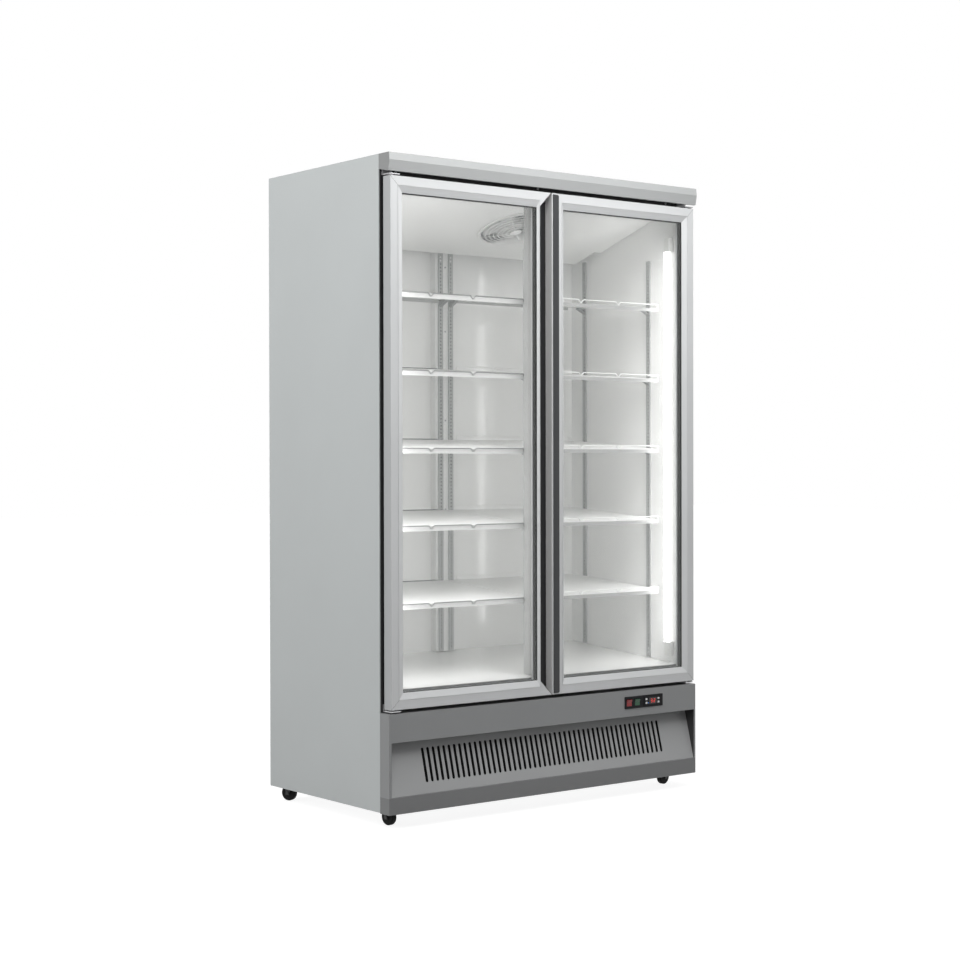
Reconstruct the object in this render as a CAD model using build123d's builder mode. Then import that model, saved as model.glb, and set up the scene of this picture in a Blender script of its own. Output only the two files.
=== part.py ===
from build123d import *
import os
from math import atan, atan2, cos, degrees, hypot, radians, sin, tan

# Upright display refrigerator with two glass doors.
# Millimetres, +X right, +Y to the back, +Z up. The origin is on the floor, under the middle of
# the whole object.

# Overall sizes
overall_width = 1253.0
overall_depth = 670.0
overall_height = 1997.0

# Cabinet shell
sheet = 1.0
body_bottom = 50.0
foam_bottom = 362.0
side_wall = 40.0
top_wall = 60.0
back_wall = 77.0
panel_flange = 24.0
liner_sheet = 1.0
liner_flange = 12.0
interior_drop = 25.0
floor_rear_height = 451.0

# Doors and the front
canopy_overhang = 8.0
door_thickness = 36.0
door_edge_radius = 1.5
gasket_depth = 8.0
frame_sheet = 3.0
door_side_inset = 8.5
door_gap = 4.0
door_bottom = 357.0
door_top_drop = 67.0
stile_width = 48.0
bead_width = 20.0
left_meeting_bead = 6.0
right_meeting_bead = 12.0
bead_drop = 8.0
bead_groove = 1.2
left_meeting_stile = 52.5
right_meeting_stile = 53.0
pocket_depth = 12.0
pane_thickness = 4.0
glazing_gap = 14.0
glazing_clearance = 1.0
spacer_reveal = 1.0
spacer_back_gap = 1.0
seal_film = 0.2
gasket_inset = 15.0
meeting_gasket_inset = 6.0
gasket_width = 20.0
gasket_clearance = 0.2
gasket_chamfer = 2.5
scoop_width = 45.0
scoop_depth = 30.0
scoop_end_slope = 22.0
scoop_liner = 1.8
grip_strip_width = 23.5
grip_strip_inset = 3.2
grip_strip_thickness = 2.0
grip_strip_end_gap = 4.0
grip_strip_radius = 6.0

# Hinges
pivot_from_side = 9.0
pivot_from_front = 11.0
hinge_pin_radius = 4.0
hinge_running_gap = 0.1
hinge_pin_end_gap = 2.0
bush_radius = 6.5
bush_length = 22.0
bush_flange_radius = 8.5
bush_flange = 3.0
bracket_sheet = 3.0
bracket_gap = 1.0
bracket_width = 36.0
bracket_leg = 36.0
lower_bracket_leg = 18.0
bracket_front_setback = 2.0

# Canopy
canopy_height = 54.0
canopy_light_band = 22.5
canopy_band_setback = 3.0
canopy_foot_setback = 6.0
canopy_sheet = 1.5
canopy_side_inset = 0.2
canopy_lip = 9.0

# Front frame, mullion and shelf post
frame_top_drop = 9.0
frame_bottom = 347.5
frame_side_inset = 3.0
opening_top_drop = 104.0
mullion_width = 60.0
mullion_depth = 56.0
mullion_sheet = 1.5
post_width = 80.0
post_depth = 28.0
post_rise = 4.0

# Slotted standards and shelf clips
standard_width = 18.0
standard_depth = 5.0
standard_sheet = 1.2
standard_end_rise = 6.0
slots_per_shelf = 20
standard_slot_height = 5.5
standard_slot_width = 4.5
standard_offset = 21.0
rear_standard_from_back = 73.0
standard_spacing = 329.0
standard_floor_gap = 2.0
clip_length = 32.0
clip_drop = 20.0
clip_rim = 4.0
clip_width = 16.0
clip_clearance = 0.05

# Shelves
shelf_count = 5
lowest_shelf_front = 656.5
top_shelf_drop = 396.5
shelf_sheet = 1.5
left_shelf_lip = 15.0
right_shelf_lip = 11.0
shelf_front_gap = 92.0
shelf_rear_gap = 40.0
shelf_outer_gap = 21.5
shelf_centre_gap = 8.0
mullion_clearance = 7.0
mullion_notch_gap = 3.0
lamp_notch_width = 22.0
lamp_notch_depth = 33.0
rail_wire = 3.0
rail_foot = 8.0
rail_bend = 3.5
rail_weld_gap = 0.05
left_rail_height = 1.5
right_rail_height = 12.5
rail_notch_depth = 11.0
rail_notch_half_width = 11.0
rail_first_notch = 162.0
rail_notch_pitch = 162.0

# Lamps
lamp_radius = 12.0
lamp_wall_gap = 1.5
lamp_setback = 77.0
lamp_bottom = 483.0
lamp_top_drop = 207.0
holder_length = 46.0
holder_width = 26.0
holder_depth = 20.0

# Air grille and lower fascia
fascia_sheet = 1.5
fascia_top = 345.5
fascia_bottom = 48.0
fascia_side_inset = 0.2
recess_top = 260.0
recess_bottom = 98.5
recess_side = 8.5
recess_depth = 45.0
fascia_foot_return = 20.0
slot_row_margin = 126.0
slot_pitch = 20.0
slot_width = 9.8
slot_length = 104.0
slot_centre_height = 181.0

# Controls
plate_width = 167.0
plate_height = 39.0
plate_thickness = 3.0
plate_from_side = 237.0
plate_centre_z = 305.5
rocker_width = 22.5
rocker_height = 23.0
rocker_spacing = 35.5
red_rocker_offset = -65.0
rocker_travel = 14.0
rocker_depth = 12.0
rocker_flank = 6.6
rocker_gap = 0.6
rocker_pin_radius = 1.5
rocker_pin_reach = 1.2
switch_wall = 1.5
switch_depth = 26.0
panel_fit = 0.1
controller_width = 77.0
controller_height = 30.0
controller_offset = 38.0
controller_depth = 56.0
controller_face = 1.5
window_width = 33.0
window_height = 20.0
window_thickness = 1.0
button_width = 7.0
button_height = 6.0
button_depth = 5.0
button_gap = 0.35
button_proud = 1.2
button_left = -29.0
button_right = 24.5
button_spacing_z = 12.0

# Evaporator section
cover_sheet = 1.2
cover_start = 71.0
cover_slope = 0.327
cover_end_width = 31.5
cover_step_from_back = 158.0
cover_rear_gap = 55.0
cover_rear_lip = 9.0
cover_clearance = 1.0
fan_x = 105.0
fan_from_start = 241.0
fan_hole_radius = 118.0
bell_width = 9.0
bell_height = 4.5
guard_wire = 1.6
guard_rings = 8
guard_outer_radius = 116.0
guard_inner_radius = 18.0
guard_bulge = 12.0
guard_spokes = 4
evaporator_rotor_radius = 108.0
evaporator_hub_radius = 27.0
evaporator_hub_height = 20.0
evaporator_motor_radius = 24.0
evaporator_motor_height = 26.0
coil_side_gap = 166.5
coil_height = 96.0
coil_depth = 84.0
coil_lift = 6.0
coil_back_gap = 12.0
coil_fin_pitch = 24.0
coil_fin = 3.0
coil_tube_radius = 5.0

# Machine compartment
base_plate_height = 74.0
base_sheet = 2.0
base_flange = 22.0
compressor_from_side = 296.5
compressor_from_rear = 265.0
compressor_radius = 82.0
compressor_long_radius = 92.0
compressor_seam_radius = 95.0
compressor_seam = 7.0
compressor_seam_height = 122.0
compressor_height = 190.0
compressor_foot = 12.0
compressor_foot_radius = 14.0
compressor_foot_x = 59.0
compressor_foot_y = 49.0
compressor_dome = 34.0
compressor_base_round = 14.0
condenser_width = 360.0
condenser_height = 230.0
condenser_depth = 52.0
condenser_from_side = 516.5
condenser_from_front = 73.0
condenser_fin_pitch = 15.0
condenser_fin = 2.5
shroud_sheet = 2.0
shroud_gap = 3.0
shroud_depth = 34.0
shroud_hole_radius = 105.0
condenser_rotor_radius = 98.0
condenser_hub_radius = 26.0
condenser_hub_height = 22.0
condenser_motor_radius = 30.0
condenser_motor_height = 38.0
fan_blades = 5
blade_sheet = 2.0
rotor_setback = 6.0
root_pitch = 34.0
tip_pitch = 24.0
motor_spindle_radius = 4.0
motor_spindle_end = 3.0
motor_running_gap = 0.1
motor_gap = 2.0
motor_arm_width = 12.0
motor_arm_sheet = 3.0
motor_arm_back = 9.0
motor_stand_width = 36.0
motor_foot_length = 32.0
pipe_radius = 4.0
pipe_bend = 26.0
box_width = 150.0
box_depth = 130.0
box_height = 120.0
box_from_side = 176.5
box_from_rear = 155.0
gland_radius = 13.0
cord_bore_radius = 5.5
rear_grille_height = 276.0
rear_grille_slots = 9
rear_grille_slot = 10.0
rear_grille_pitch = 24.0

# Casters
caster_inset_x = 61.5
front_caster_setback = 110.0
rear_caster_setback = 45.0
wheel_radius = 25.0
wheel_width = 18.0
wheel_hub_width = 20.0
wheel_hub_radius = 9.0
wheel_round = 4.0
caster_trail = 18.0
caster_plate_size = 56.0
caster_plate_sheet = 3.0
kingpin_radius = 5.0
kingpin_head_radius = 8.0
kingpin_head = 2.5
swivel_gap = 0.4
running_gap = 0.1
fork_sheet = 2.5
fork_gap = 1.0
fork_leg_width = 26.0
fork_crown_radius = 18.0
axle_radius = 4.0
axle_head_radius = 6.5
axle_head = 2.0
caster_turns = {
    "front_left": 8.0,
    "front_right": 100.0,
    "rear_left": 205.0,
    "rear_right": 160.0,
}

# Screws
screw_radius = 4.0
post_screw_radius = 3.2
screw_head = 1.6
frame_screw_rise = 3.5
left_screw_from_side = 58.5
right_screw_from_side = 94.5
middle_screw_x = -20.0
top_screw_drop = 47.0
second_screw_drop = 263.0
post_screw_step = 299.0
post_screw_steps = 4

# Planes and edges that follow from the sizes above
half_width = overall_width / 2
front = -overall_depth / 2
rear = overall_depth / 2
door_front = front + canopy_overhang
door_rear = door_front + door_thickness
frame_front = door_rear + gasket_depth
cabinet_front = frame_front + frame_sheet
liner_half = half_width - side_wall
liner_back = rear - back_wall
ceiling = overall_height - top_wall
shelf_tilt = degrees(atan(interior_drop / standard_spacing))
shelf_slope = interior_drop / standard_spacing
door_half = half_width - door_side_inset
door_top = overall_height - door_top_drop
door_height = door_top - door_bottom
door_middle = (door_top + door_bottom) / 2
glass_front = door_front + bead_drop
glazing = 2 * pane_thickness + glazing_gap
pivot_x = door_half - pivot_from_side
pivot_y = door_front + pivot_from_front
fascia_half = half_width - fascia_side_inset
frame_top = overall_height - frame_top_drop
opening_top = overall_height - opening_top_drop
lamp_top = overall_height - lamp_top_drop
standard_length = lamp_top - floor_rear_height + standard_end_rise
shelf_pitch = (overall_height - top_shelf_drop - lowest_shelf_front) / (shelf_count - 1)
standard_pitch = shelf_pitch / slots_per_shelf
slot_count = 2 * int((fascia_half - recess_side - slot_row_margin) // slot_pitch) + 1
plate_centre_x = half_width - plate_from_side
compressor_x = compressor_from_side - half_width
compressor_y = rear - compressor_from_rear
condenser_x = half_width - condenser_from_side
condenser_front_y = front + condenser_from_front
box_x = half_width - box_from_side
box_y = rear - box_from_rear
cover_start_y = door_front + cover_start
cover_step_y = liner_back - cover_step_from_back
cover_rear_y = liner_back - cover_rear_gap
sides = (("left", -1), ("right", 1))
meeting_stiles = {"left": left_meeting_stile, "right": right_meeting_stile}
meeting_beads = {"left": left_meeting_bead, "right": right_meeting_bead}
shelf_lips = {"left": left_shelf_lip, "right": right_shelf_lip}
rail_heights = {"left": left_rail_height, "right": right_rail_height}


def upright(y):
    """A plane that faces the front at depth y, with X across and Z up."""
    return Plane.XZ.offset(-y)


def floor_height(y):
    """Top of the sloped liner floor at depth y."""
    return floor_rear_height - (liner_back - y) * shelf_slope


def cover_height(y):
    """Underside of the evaporator cover's slope at depth y."""
    return ceiling - cover_sheet - (y - cover_start_y) * cover_slope


def span(a, b):
    """Middle and length of the interval between two numbers."""
    return (a + b) / 2, abs(b - a)


def add_box(x0, x1, y0, y1, z0, z1, mode=Mode.ADD):
    """A box between corner values, in the current part."""
    (cx, lx), (cy, ly), (cz, lz) = span(x0, x1), span(y0, y1), span(z0, z1)
    with Locations((cx, cy, cz)):
        Box(lx, ly, lz, mode=mode)


os.makedirs("parts", exist_ok=True)

# Outer side panels, each with a flange folded inward at the front
with BuildPart() as side_panels:
    for side, s in sides:
        with BuildSketch(Plane.XY.offset(body_bottom)):
            with BuildLine():
                Polyline(
                    (s * half_width, rear),
                    (s * half_width, cabinet_front),
                    (s * (half_width - panel_flange), cabinet_front),
                    (s * (half_width - panel_flange), cabinet_front + sheet),
                    (s * (half_width - sheet), cabinet_front + sheet),
                    (s * (half_width - sheet), rear),
                    close=True,
                )
            make_face()
        extrude(amount=overall_height - body_bottom)
side_panels.part.label = "side_panels"
export_step(side_panels.part, "parts/side_panels.step")

# Top and back of the cabinet, one folded sheet
with BuildPart() as top_and_back:
    add_box(sheet - half_width, half_width - sheet, cabinet_front + sheet, rear,
            overall_height - sheet, overall_height)
    add_box(sheet - half_width, half_width - sheet, rear - sheet, rear, foam_bottom - sheet, overall_height)
top_and_back.part.label = "top_and_back_panel"
export_step(top_and_back.part, "parts/top_and_back_panel.step")

# Inner liner: one shell, open at the front, with a flange round its mouth
mouth = cabinet_front + sheet
liner_inner = [
    (mouth - sheet, floor_height(mouth - sheet)),
    (liner_back, floor_rear_height),
    (liner_back, ceiling),
    (mouth - sheet, ceiling),
]
liner_outer = [
    (mouth, floor_height(mouth) - liner_sheet),
    (liner_back + liner_sheet, floor_rear_height - liner_sheet),
    (liner_back + liner_sheet, ceiling + liner_sheet),
    (mouth, ceiling + liner_sheet),
]
liner_outer_half = liner_half + liner_sheet

with BuildPart() as inner_liner:
    with BuildSketch(Plane.YZ):
        with BuildLine():
            Polyline(*liner_outer, close=True)
        make_face()
    extrude(amount=liner_outer_half, both=True)
    with BuildSketch(upright(cabinet_front)):
        with Locations((0, (floor_height(cabinet_front) + ceiling) / 2)):
            Rectangle(
                2 * (liner_half + liner_flange),
                ceiling - floor_height(cabinet_front) + 2 * liner_flange,
            )
    extrude(amount=-sheet)
    with BuildSketch(Plane.YZ):
        with BuildLine():
            Polyline(*liner_inner, close=True)
        make_face()
    extrude(amount=liner_half, both=True, mode=Mode.SUBTRACT)
inner_liner.part.label = "inner_liner"
export_step(inner_liner.part, "parts/inner_liner.step")

# Foam between the outer panels and the liner
with BuildPart() as insulation_foam:
    add_box(sheet - half_width, half_width - sheet, mouth, rear - sheet, foam_bottom, overall_height - sheet)
    with BuildSketch(Plane.YZ):
        with BuildLine():
            Polyline(*liner_outer, close=True)
        make_face()
    extrude(amount=liner_outer_half, both=True, mode=Mode.SUBTRACT)
insulation_foam.part.label = "insulation_foam"
export_step(insulation_foam.part, "parts/insulation_foam.step")

# Base tray under the machine compartment, with flanges turned down
with BuildPart() as base_tray:
    tray_half = half_width - sheet
    tray_front = cabinet_front + sheet
    tray_rear = rear - sheet
    add_box(-tray_half, tray_half, tray_front, tray_rear, base_plate_height - base_flange, base_plate_height)
    add_box(
        base_sheet - tray_half, tray_half - base_sheet, tray_front + base_sheet, tray_rear - base_sheet,
        base_plate_height - base_flange, base_plate_height - base_sheet, mode=Mode.SUBTRACT,
    )
base_tray.part.label = "base_tray"
export_step(base_tray.part, "parts/base_tray.step")

# Rear grille of the machine compartment, closed round the inlet gland
gland_z = base_plate_height + box_height / 2
with BuildPart() as rear_grille:
    grille_bottom = base_plate_height
    add_box(sheet - half_width, half_width - sheet, rear - sheet, rear,
            grille_bottom, grille_bottom + rear_grille_height)
    with BuildSketch(upright(rear)):
        with Locations((0, grille_bottom + rear_grille_height / 2)):
            with GridLocations(overall_width / 4, rear_grille_pitch, 3, rear_grille_slots):
                SlotOverall(overall_width / 5, rear_grille_slot)
    extrude(amount=sheet, mode=Mode.SUBTRACT)
    with BuildSketch(upright(rear)):
        with Locations((box_x, gland_z)):
            Rectangle(6 * gland_radius, 6 * gland_radius)
    extrude(amount=sheet)
    with BuildSketch(upright(rear)):
        with Locations((box_x, gland_z)):
            Circle(gland_radius + panel_fit)
    extrude(amount=sheet, mode=Mode.SUBTRACT)
rear_grille.part.label = "rear_grille"
export_step(rear_grille.part, "parts/rear_grille.step")

# Black front frame that the gaskets seal on
with BuildPart() as front_frame:
    opening_bottom = floor_height(cabinet_front)
    with BuildSketch(upright(frame_front)):
        with Locations((0, (frame_top + frame_bottom) / 2)):
            Rectangle(2 * (half_width - frame_side_inset), frame_top - frame_bottom)
        with Locations((0, (opening_top + opening_bottom) / 2)):
            Rectangle(2 * liner_half, opening_top - opening_bottom, mode=Mode.SUBTRACT)
    extrude(amount=-frame_sheet)
front_frame.part.label = "front_frame"
export_step(front_frame.part, "parts/front_frame.step")

# Centre mullion: a hollow upright between the bays
mullion_rear = frame_front + mullion_depth
with BuildPart() as centre_mullion:
    with BuildSketch(Plane.XY.offset(floor_height(mullion_rear))):
        with Locations((0, frame_front + mullion_depth / 2)):
            Rectangle(mullion_width, mullion_depth)
            Rectangle(mullion_width - 2 * mullion_sheet, mullion_depth - 2 * mullion_sheet, mode=Mode.SUBTRACT)
    extrude(amount=opening_top - floor_height(mullion_rear))
centre_mullion.part.label = "centre_mullion"
export_step(centre_mullion.part, "parts/centre_mullion.step")

# Rear shelf post: a channel against the back wall
post_front = liner_back - post_depth
post_top = cover_height(cover_rear_y) + post_rise
with BuildPart() as shelf_post:
    with BuildSketch(Plane.XY.offset(floor_rear_height)):
        with Locations((0, liner_back - post_depth / 2)):
            Rectangle(post_width, post_depth)
        with Locations((0, liner_back - (post_depth - mullion_sheet) / 2)):
            Rectangle(post_width - 2 * mullion_sheet, post_depth - mullion_sheet, mode=Mode.SUBTRACT)
    extrude(amount=post_top - floor_rear_height)
shelf_post.part.label = "shelf_post"
export_step(shelf_post.part, "parts/shelf_post.step")

# Canopy over the doors: a light upper band, a darker foot that leans back, closed ends
canopy_half = half_width - canopy_side_inset
canopy_foot = overall_height - canopy_height
canopy_outline = [
    (cabinet_front, overall_height),
    (front + canopy_band_setback, overall_height),
    (front, overall_height - canopy_light_band),
    (front + canopy_foot_setback, canopy_foot),
    (front + canopy_foot_setback + canopy_lip, canopy_foot),
]
with BuildPart() as canopy:
    with BuildSketch(Plane.YZ):
        with BuildLine():
            Polyline(*canopy_outline, (cabinet_front, canopy_foot + canopy_lip), close=True)
        make_face()
    extrude(amount=canopy_half, both=True)
    with BuildSketch(Plane.YZ):
        with BuildLine():
            Polyline(
                (cabinet_front, overall_height - canopy_sheet),
                (front + canopy_band_setback + canopy_sheet, overall_height - canopy_sheet),
                (front + canopy_sheet, overall_height - canopy_light_band),
                (front + canopy_foot_setback + canopy_sheet, canopy_foot + canopy_sheet),
                (front + canopy_foot_setback + canopy_lip, canopy_foot + canopy_sheet),
                (front + canopy_foot_setback + canopy_lip, canopy_foot - canopy_sheet),
                (cabinet_front, canopy_foot - canopy_sheet),
                close=True,
            )
        make_face()
    extrude(amount=canopy_half - canopy_sheet, both=True, mode=Mode.SUBTRACT)
canopy.part.label = "canopy"
export_step(canopy.part, "parts/canopy.step")

# Lower fascia: an upper band with the controls, a recess and a foot band
control_holes = [
    (plate_centre_x + red_rocker_offset, rocker_width + 2 * switch_wall, rocker_height + 2 * switch_wall),
    (plate_centre_x + red_rocker_offset + rocker_spacing,
     rocker_width + 2 * switch_wall, rocker_height + 2 * switch_wall),
    (plate_centre_x + controller_offset, controller_width, controller_height),
]
with BuildPart() as lower_fascia:
    with BuildSketch(Plane.YZ):
        with BuildLine():
            Polyline(
                (door_front, fascia_top),
                (cabinet_front, fascia_top),
                (cabinet_front, fascia_bottom),
                (door_front, fascia_bottom),
                close=True,
            )
        make_face()
    extrude(amount=fascia_half, both=True)
    with BuildSketch(Plane.YZ):
        with BuildLine():
            Polyline(
                (door_front + fascia_sheet, fascia_top - fascia_sheet),
                (cabinet_front, fascia_top - fascia_sheet),
                (cabinet_front, fascia_bottom + fascia_sheet),
                (door_front + fascia_sheet, fascia_bottom + fascia_sheet),
                close=True,
            )
        make_face()
    extrude(amount=fascia_half - fascia_sheet, both=True, mode=Mode.SUBTRACT)
    with BuildSketch(upright(door_front)):
        with Locations((0, (recess_top + recess_bottom) / 2)):
            Rectangle(2 * (fascia_half - recess_side), recess_top - recess_bottom)
    extrude(amount=-fascia_sheet, mode=Mode.SUBTRACT)
    add_box(
        fascia_sheet - fascia_half, fascia_half - fascia_sheet,
        door_front + fascia_foot_return, cabinet_front,
        fascia_bottom, fascia_bottom + fascia_sheet, mode=Mode.SUBTRACT,
    )
    add_box(
        recess_side - fascia_half, fascia_half - recess_side,
        door_front + fascia_sheet, door_front + recess_depth + fascia_sheet,
        recess_top, recess_top + fascia_sheet,
    )
    for cheek in (-1, 1):
        add_box(
            cheek * (fascia_half - recess_side), cheek * (fascia_half - recess_side + fascia_sheet),
            door_front + fascia_sheet, door_front + recess_depth + fascia_sheet,
            recess_bottom - fascia_sheet, recess_top + fascia_sheet,
        )
    with BuildSketch(upright(door_front)):
        for hole_x, hole_width, hole_height in control_holes:
            with Locations((hole_x, plate_centre_z)):
                Rectangle(hole_width + 2 * panel_fit, hole_height + 2 * panel_fit)
    extrude(amount=-fascia_sheet, mode=Mode.SUBTRACT)
    front_edges = lower_fascia.edges().filter_by(Axis.Z).group_by(Axis.Y)[0].sort_by(Axis.X)
    fillet([front_edges[0], front_edges[-1]], radius=fascia_sheet)
lower_fascia.part.label = "lower_fascia"
export_step(lower_fascia.part, "parts/lower_fascia.step")

# Sloped air grille with a row of upright slots
grille_rise = recess_top - recess_bottom
grille_run = recess_depth - fascia_sheet
grille_half = fascia_half - recess_side - glazing_clearance / 4
grille_lean = degrees(atan2(grille_run, grille_rise))
grille_plane = Plane(
    origin=(0, door_front + fascia_sheet, recess_bottom),
    x_dir=(1, 0, 0),
    z_dir=(0, -cos(radians(grille_lean)), sin(radians(grille_lean))),
)
grille_face_length = hypot(grille_rise, grille_run)
with BuildPart() as air_grille:
    with BuildSketch(grille_plane):
        with Locations((0, grille_face_length / 2)):
            Rectangle(2 * grille_half, grille_face_length - glazing_clearance)
        with Locations((0, (slot_centre_height - recess_bottom) / cos(radians(grille_lean)))):
            with GridLocations(slot_pitch, slot_length, slot_count, 1):
                SlotOverall(slot_length, slot_width, rotation=90, mode=Mode.SUBTRACT)
    extrude(amount=-fascia_sheet)
air_grille.part.label = "air_grille"
export_step(air_grille.part, "parts/air_grille.step")

# Control plate with its square holes, and the two switch frames with their open wells
plate_front = door_front - plate_thickness
rocker_axis_y = plate_front + rocker_depth / 2
rocker_places = {
    "red_rocker": plate_centre_x + red_rocker_offset,
    "green_rocker": plate_centre_x + red_rocker_offset + rocker_spacing,
}
with BuildPart() as control_plate:
    with BuildSketch(upright(plate_front)):
        with Locations((plate_centre_x, plate_centre_z)):
            RectangleRounded(plate_width, plate_height, 1.5)
        for hole_x, hole_width, hole_height in control_holes:
            with Locations((hole_x, plate_centre_z)):
                Rectangle(hole_width + 2 * panel_fit, hole_height + 2 * panel_fit, mode=Mode.SUBTRACT)
    extrude(amount=-plate_thickness)
    front_rim = control_plate.faces().sort_by(Axis.Y)[0].outer_wire().edges()
    fillet(front_rim, radius=0.8)
    for place_x in rocker_places.values():
        add_box(
            place_x - rocker_width / 2 - switch_wall, place_x + rocker_width / 2 + switch_wall,
            plate_front, plate_front + switch_depth,
            plate_centre_z - rocker_height / 2 - switch_wall, plate_centre_z + rocker_height / 2 + switch_wall,
        )
        add_box(
            place_x - rocker_width / 2, place_x + rocker_width / 2,
            plate_front, plate_front + switch_depth - switch_wall,
            plate_centre_z - rocker_height / 2, plate_centre_z + rocker_height / 2, mode=Mode.SUBTRACT,
        )
        with BuildSketch(Plane.YZ.offset(place_x)):
            with Locations((rocker_axis_y, plate_centre_z)):
                Circle(rocker_pin_radius + running_gap)
        extrude(amount=rocker_width / 2 + rocker_pin_reach, both=True, mode=Mode.SUBTRACT)
control_plate.part.label = "control_plate"
export_step(control_plate.part, "parts/control_plate.step")

# Rockers that tip on side pins about a level axis, drawn with their lower half pressed in
rocker_half = rocker_height / 2 - rocker_gap
rocker_well = rocker_width - 2 * rocker_gap
rocker_rise = rocker_half * tan(radians(rocker_travel / 2))
for rocker_name, place_x in rocker_places.items():
    with BuildPart() as rocker:
        with BuildSketch(Plane.YZ.offset(place_x)):
            with BuildLine():
                Polyline(
                    (plate_front + rocker_rise / 3, plate_centre_z),
                    (plate_front - rocker_rise, plate_centre_z + rocker_half - rocker_gap),
                    (plate_front + rocker_flank, plate_centre_z + rocker_half - rocker_gap),
                    (plate_front + rocker_depth, plate_centre_z),
                    (plate_front + rocker_flank, plate_centre_z - rocker_half + rocker_gap),
                    (plate_front - rocker_rise, plate_centre_z - rocker_half + rocker_gap),
                    close=True,
                )
            make_face()
        extrude(amount=rocker_well / 2, both=True)
        with BuildSketch(Plane.YZ.offset(place_x)):
            with Locations((rocker_axis_y, plate_centre_z)):
                Circle(rocker_pin_radius)
        extrude(amount=rocker_width / 2 + rocker_pin_reach - running_gap, both=True)
    pressed = rocker.part.rotate(Axis((place_x, rocker_axis_y, plate_centre_z), (1, 0, 0)), rocker_travel / 2)
    pressed.label = rocker_name
    export_step(pressed, f"parts/{rocker_name}.step")

# Digital controller: a body with a window recess and four button wells
controller_x = plate_centre_x + controller_offset
controller_front = plate_front - controller_face
button_places = {
    "button_set": (button_left, button_spacing_z / 2),
    "button_light": (button_left, -button_spacing_z / 2),
    "button_up": (button_right, button_spacing_z / 2),
    "button_down": (button_right, -button_spacing_z / 2),
}
with BuildPart() as controller_body:
    add_box(
        controller_x - controller_width / 2, controller_x + controller_width / 2,
        controller_front, controller_front + controller_depth,
        plate_centre_z - controller_height / 2, plate_centre_z + controller_height / 2,
    )
    with BuildSketch(upright(controller_front)):
        with Locations((controller_x, plate_centre_z)):
            Rectangle(window_width, window_height)
    extrude(amount=-window_thickness, mode=Mode.SUBTRACT)
    with BuildSketch(upright(controller_front)):
        for dx, dz in button_places.values():
            with Locations((controller_x + dx, plate_centre_z + dz)):
                Rectangle(button_width + 2 * button_gap, button_height + 2 * button_gap)
    extrude(amount=-(button_depth + button_proud), mode=Mode.SUBTRACT)
controller_body.part.label = "controller_body"
export_step(controller_body.part, "parts/controller_body.step")

with BuildPart() as display_window:
    with BuildSketch(upright(controller_front)):
        with Locations((controller_x, plate_centre_z)):
            Rectangle(window_width, window_height)
    extrude(amount=-window_thickness)
display_window.part.label = "display_window"
export_step(display_window.part, "parts/display_window.step")

for button_name, (dx, dz) in button_places.items():
    with BuildPart() as button:
        with BuildSketch(upright(controller_front - button_proud)):
            with Locations((controller_x + dx, plate_centre_z + dz)):
                RectangleRounded(button_width, button_height, 1)
        extrude(amount=-button_depth)
        fillet(button.faces().sort_by(Axis.Y)[0].edges(), radius=0.5)
    button.part.label = button_name
    export_step(button.part, f"parts/{button_name}.step")

# Scoop in the left door's meeting stile: a wedge with mitred ends, used as a cutter
scoop_outer = -door_gap / 2
scoop_inner = scoop_outer - scoop_width
with BuildPart() as scoop_wedge:
    with BuildSketch(Plane.XY.offset(door_bottom)):
        with BuildLine():
            Polyline(
                (scoop_inner, door_front), (scoop_outer, door_front + scoop_depth), (scoop_outer, door_front),
                close=True,
            )
        make_face()
    extrude(amount=door_height)
    for end_height, inward in ((door_top, -1), (door_bottom, 1)):
        corner = Vector(scoop_outer, door_front, end_height)
        along_face = Vector(-scoop_width, 0, inward * scoop_width)
        into_depth = Vector(0, scoop_depth, inward * scoop_end_slope)
        mitre = Plane(origin=corner, x_dir=along_face, z_dir=along_face.cross(into_depth) * inward)
        split(bisect_by=mitre, keep=Keep.BOTTOM)

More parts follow.
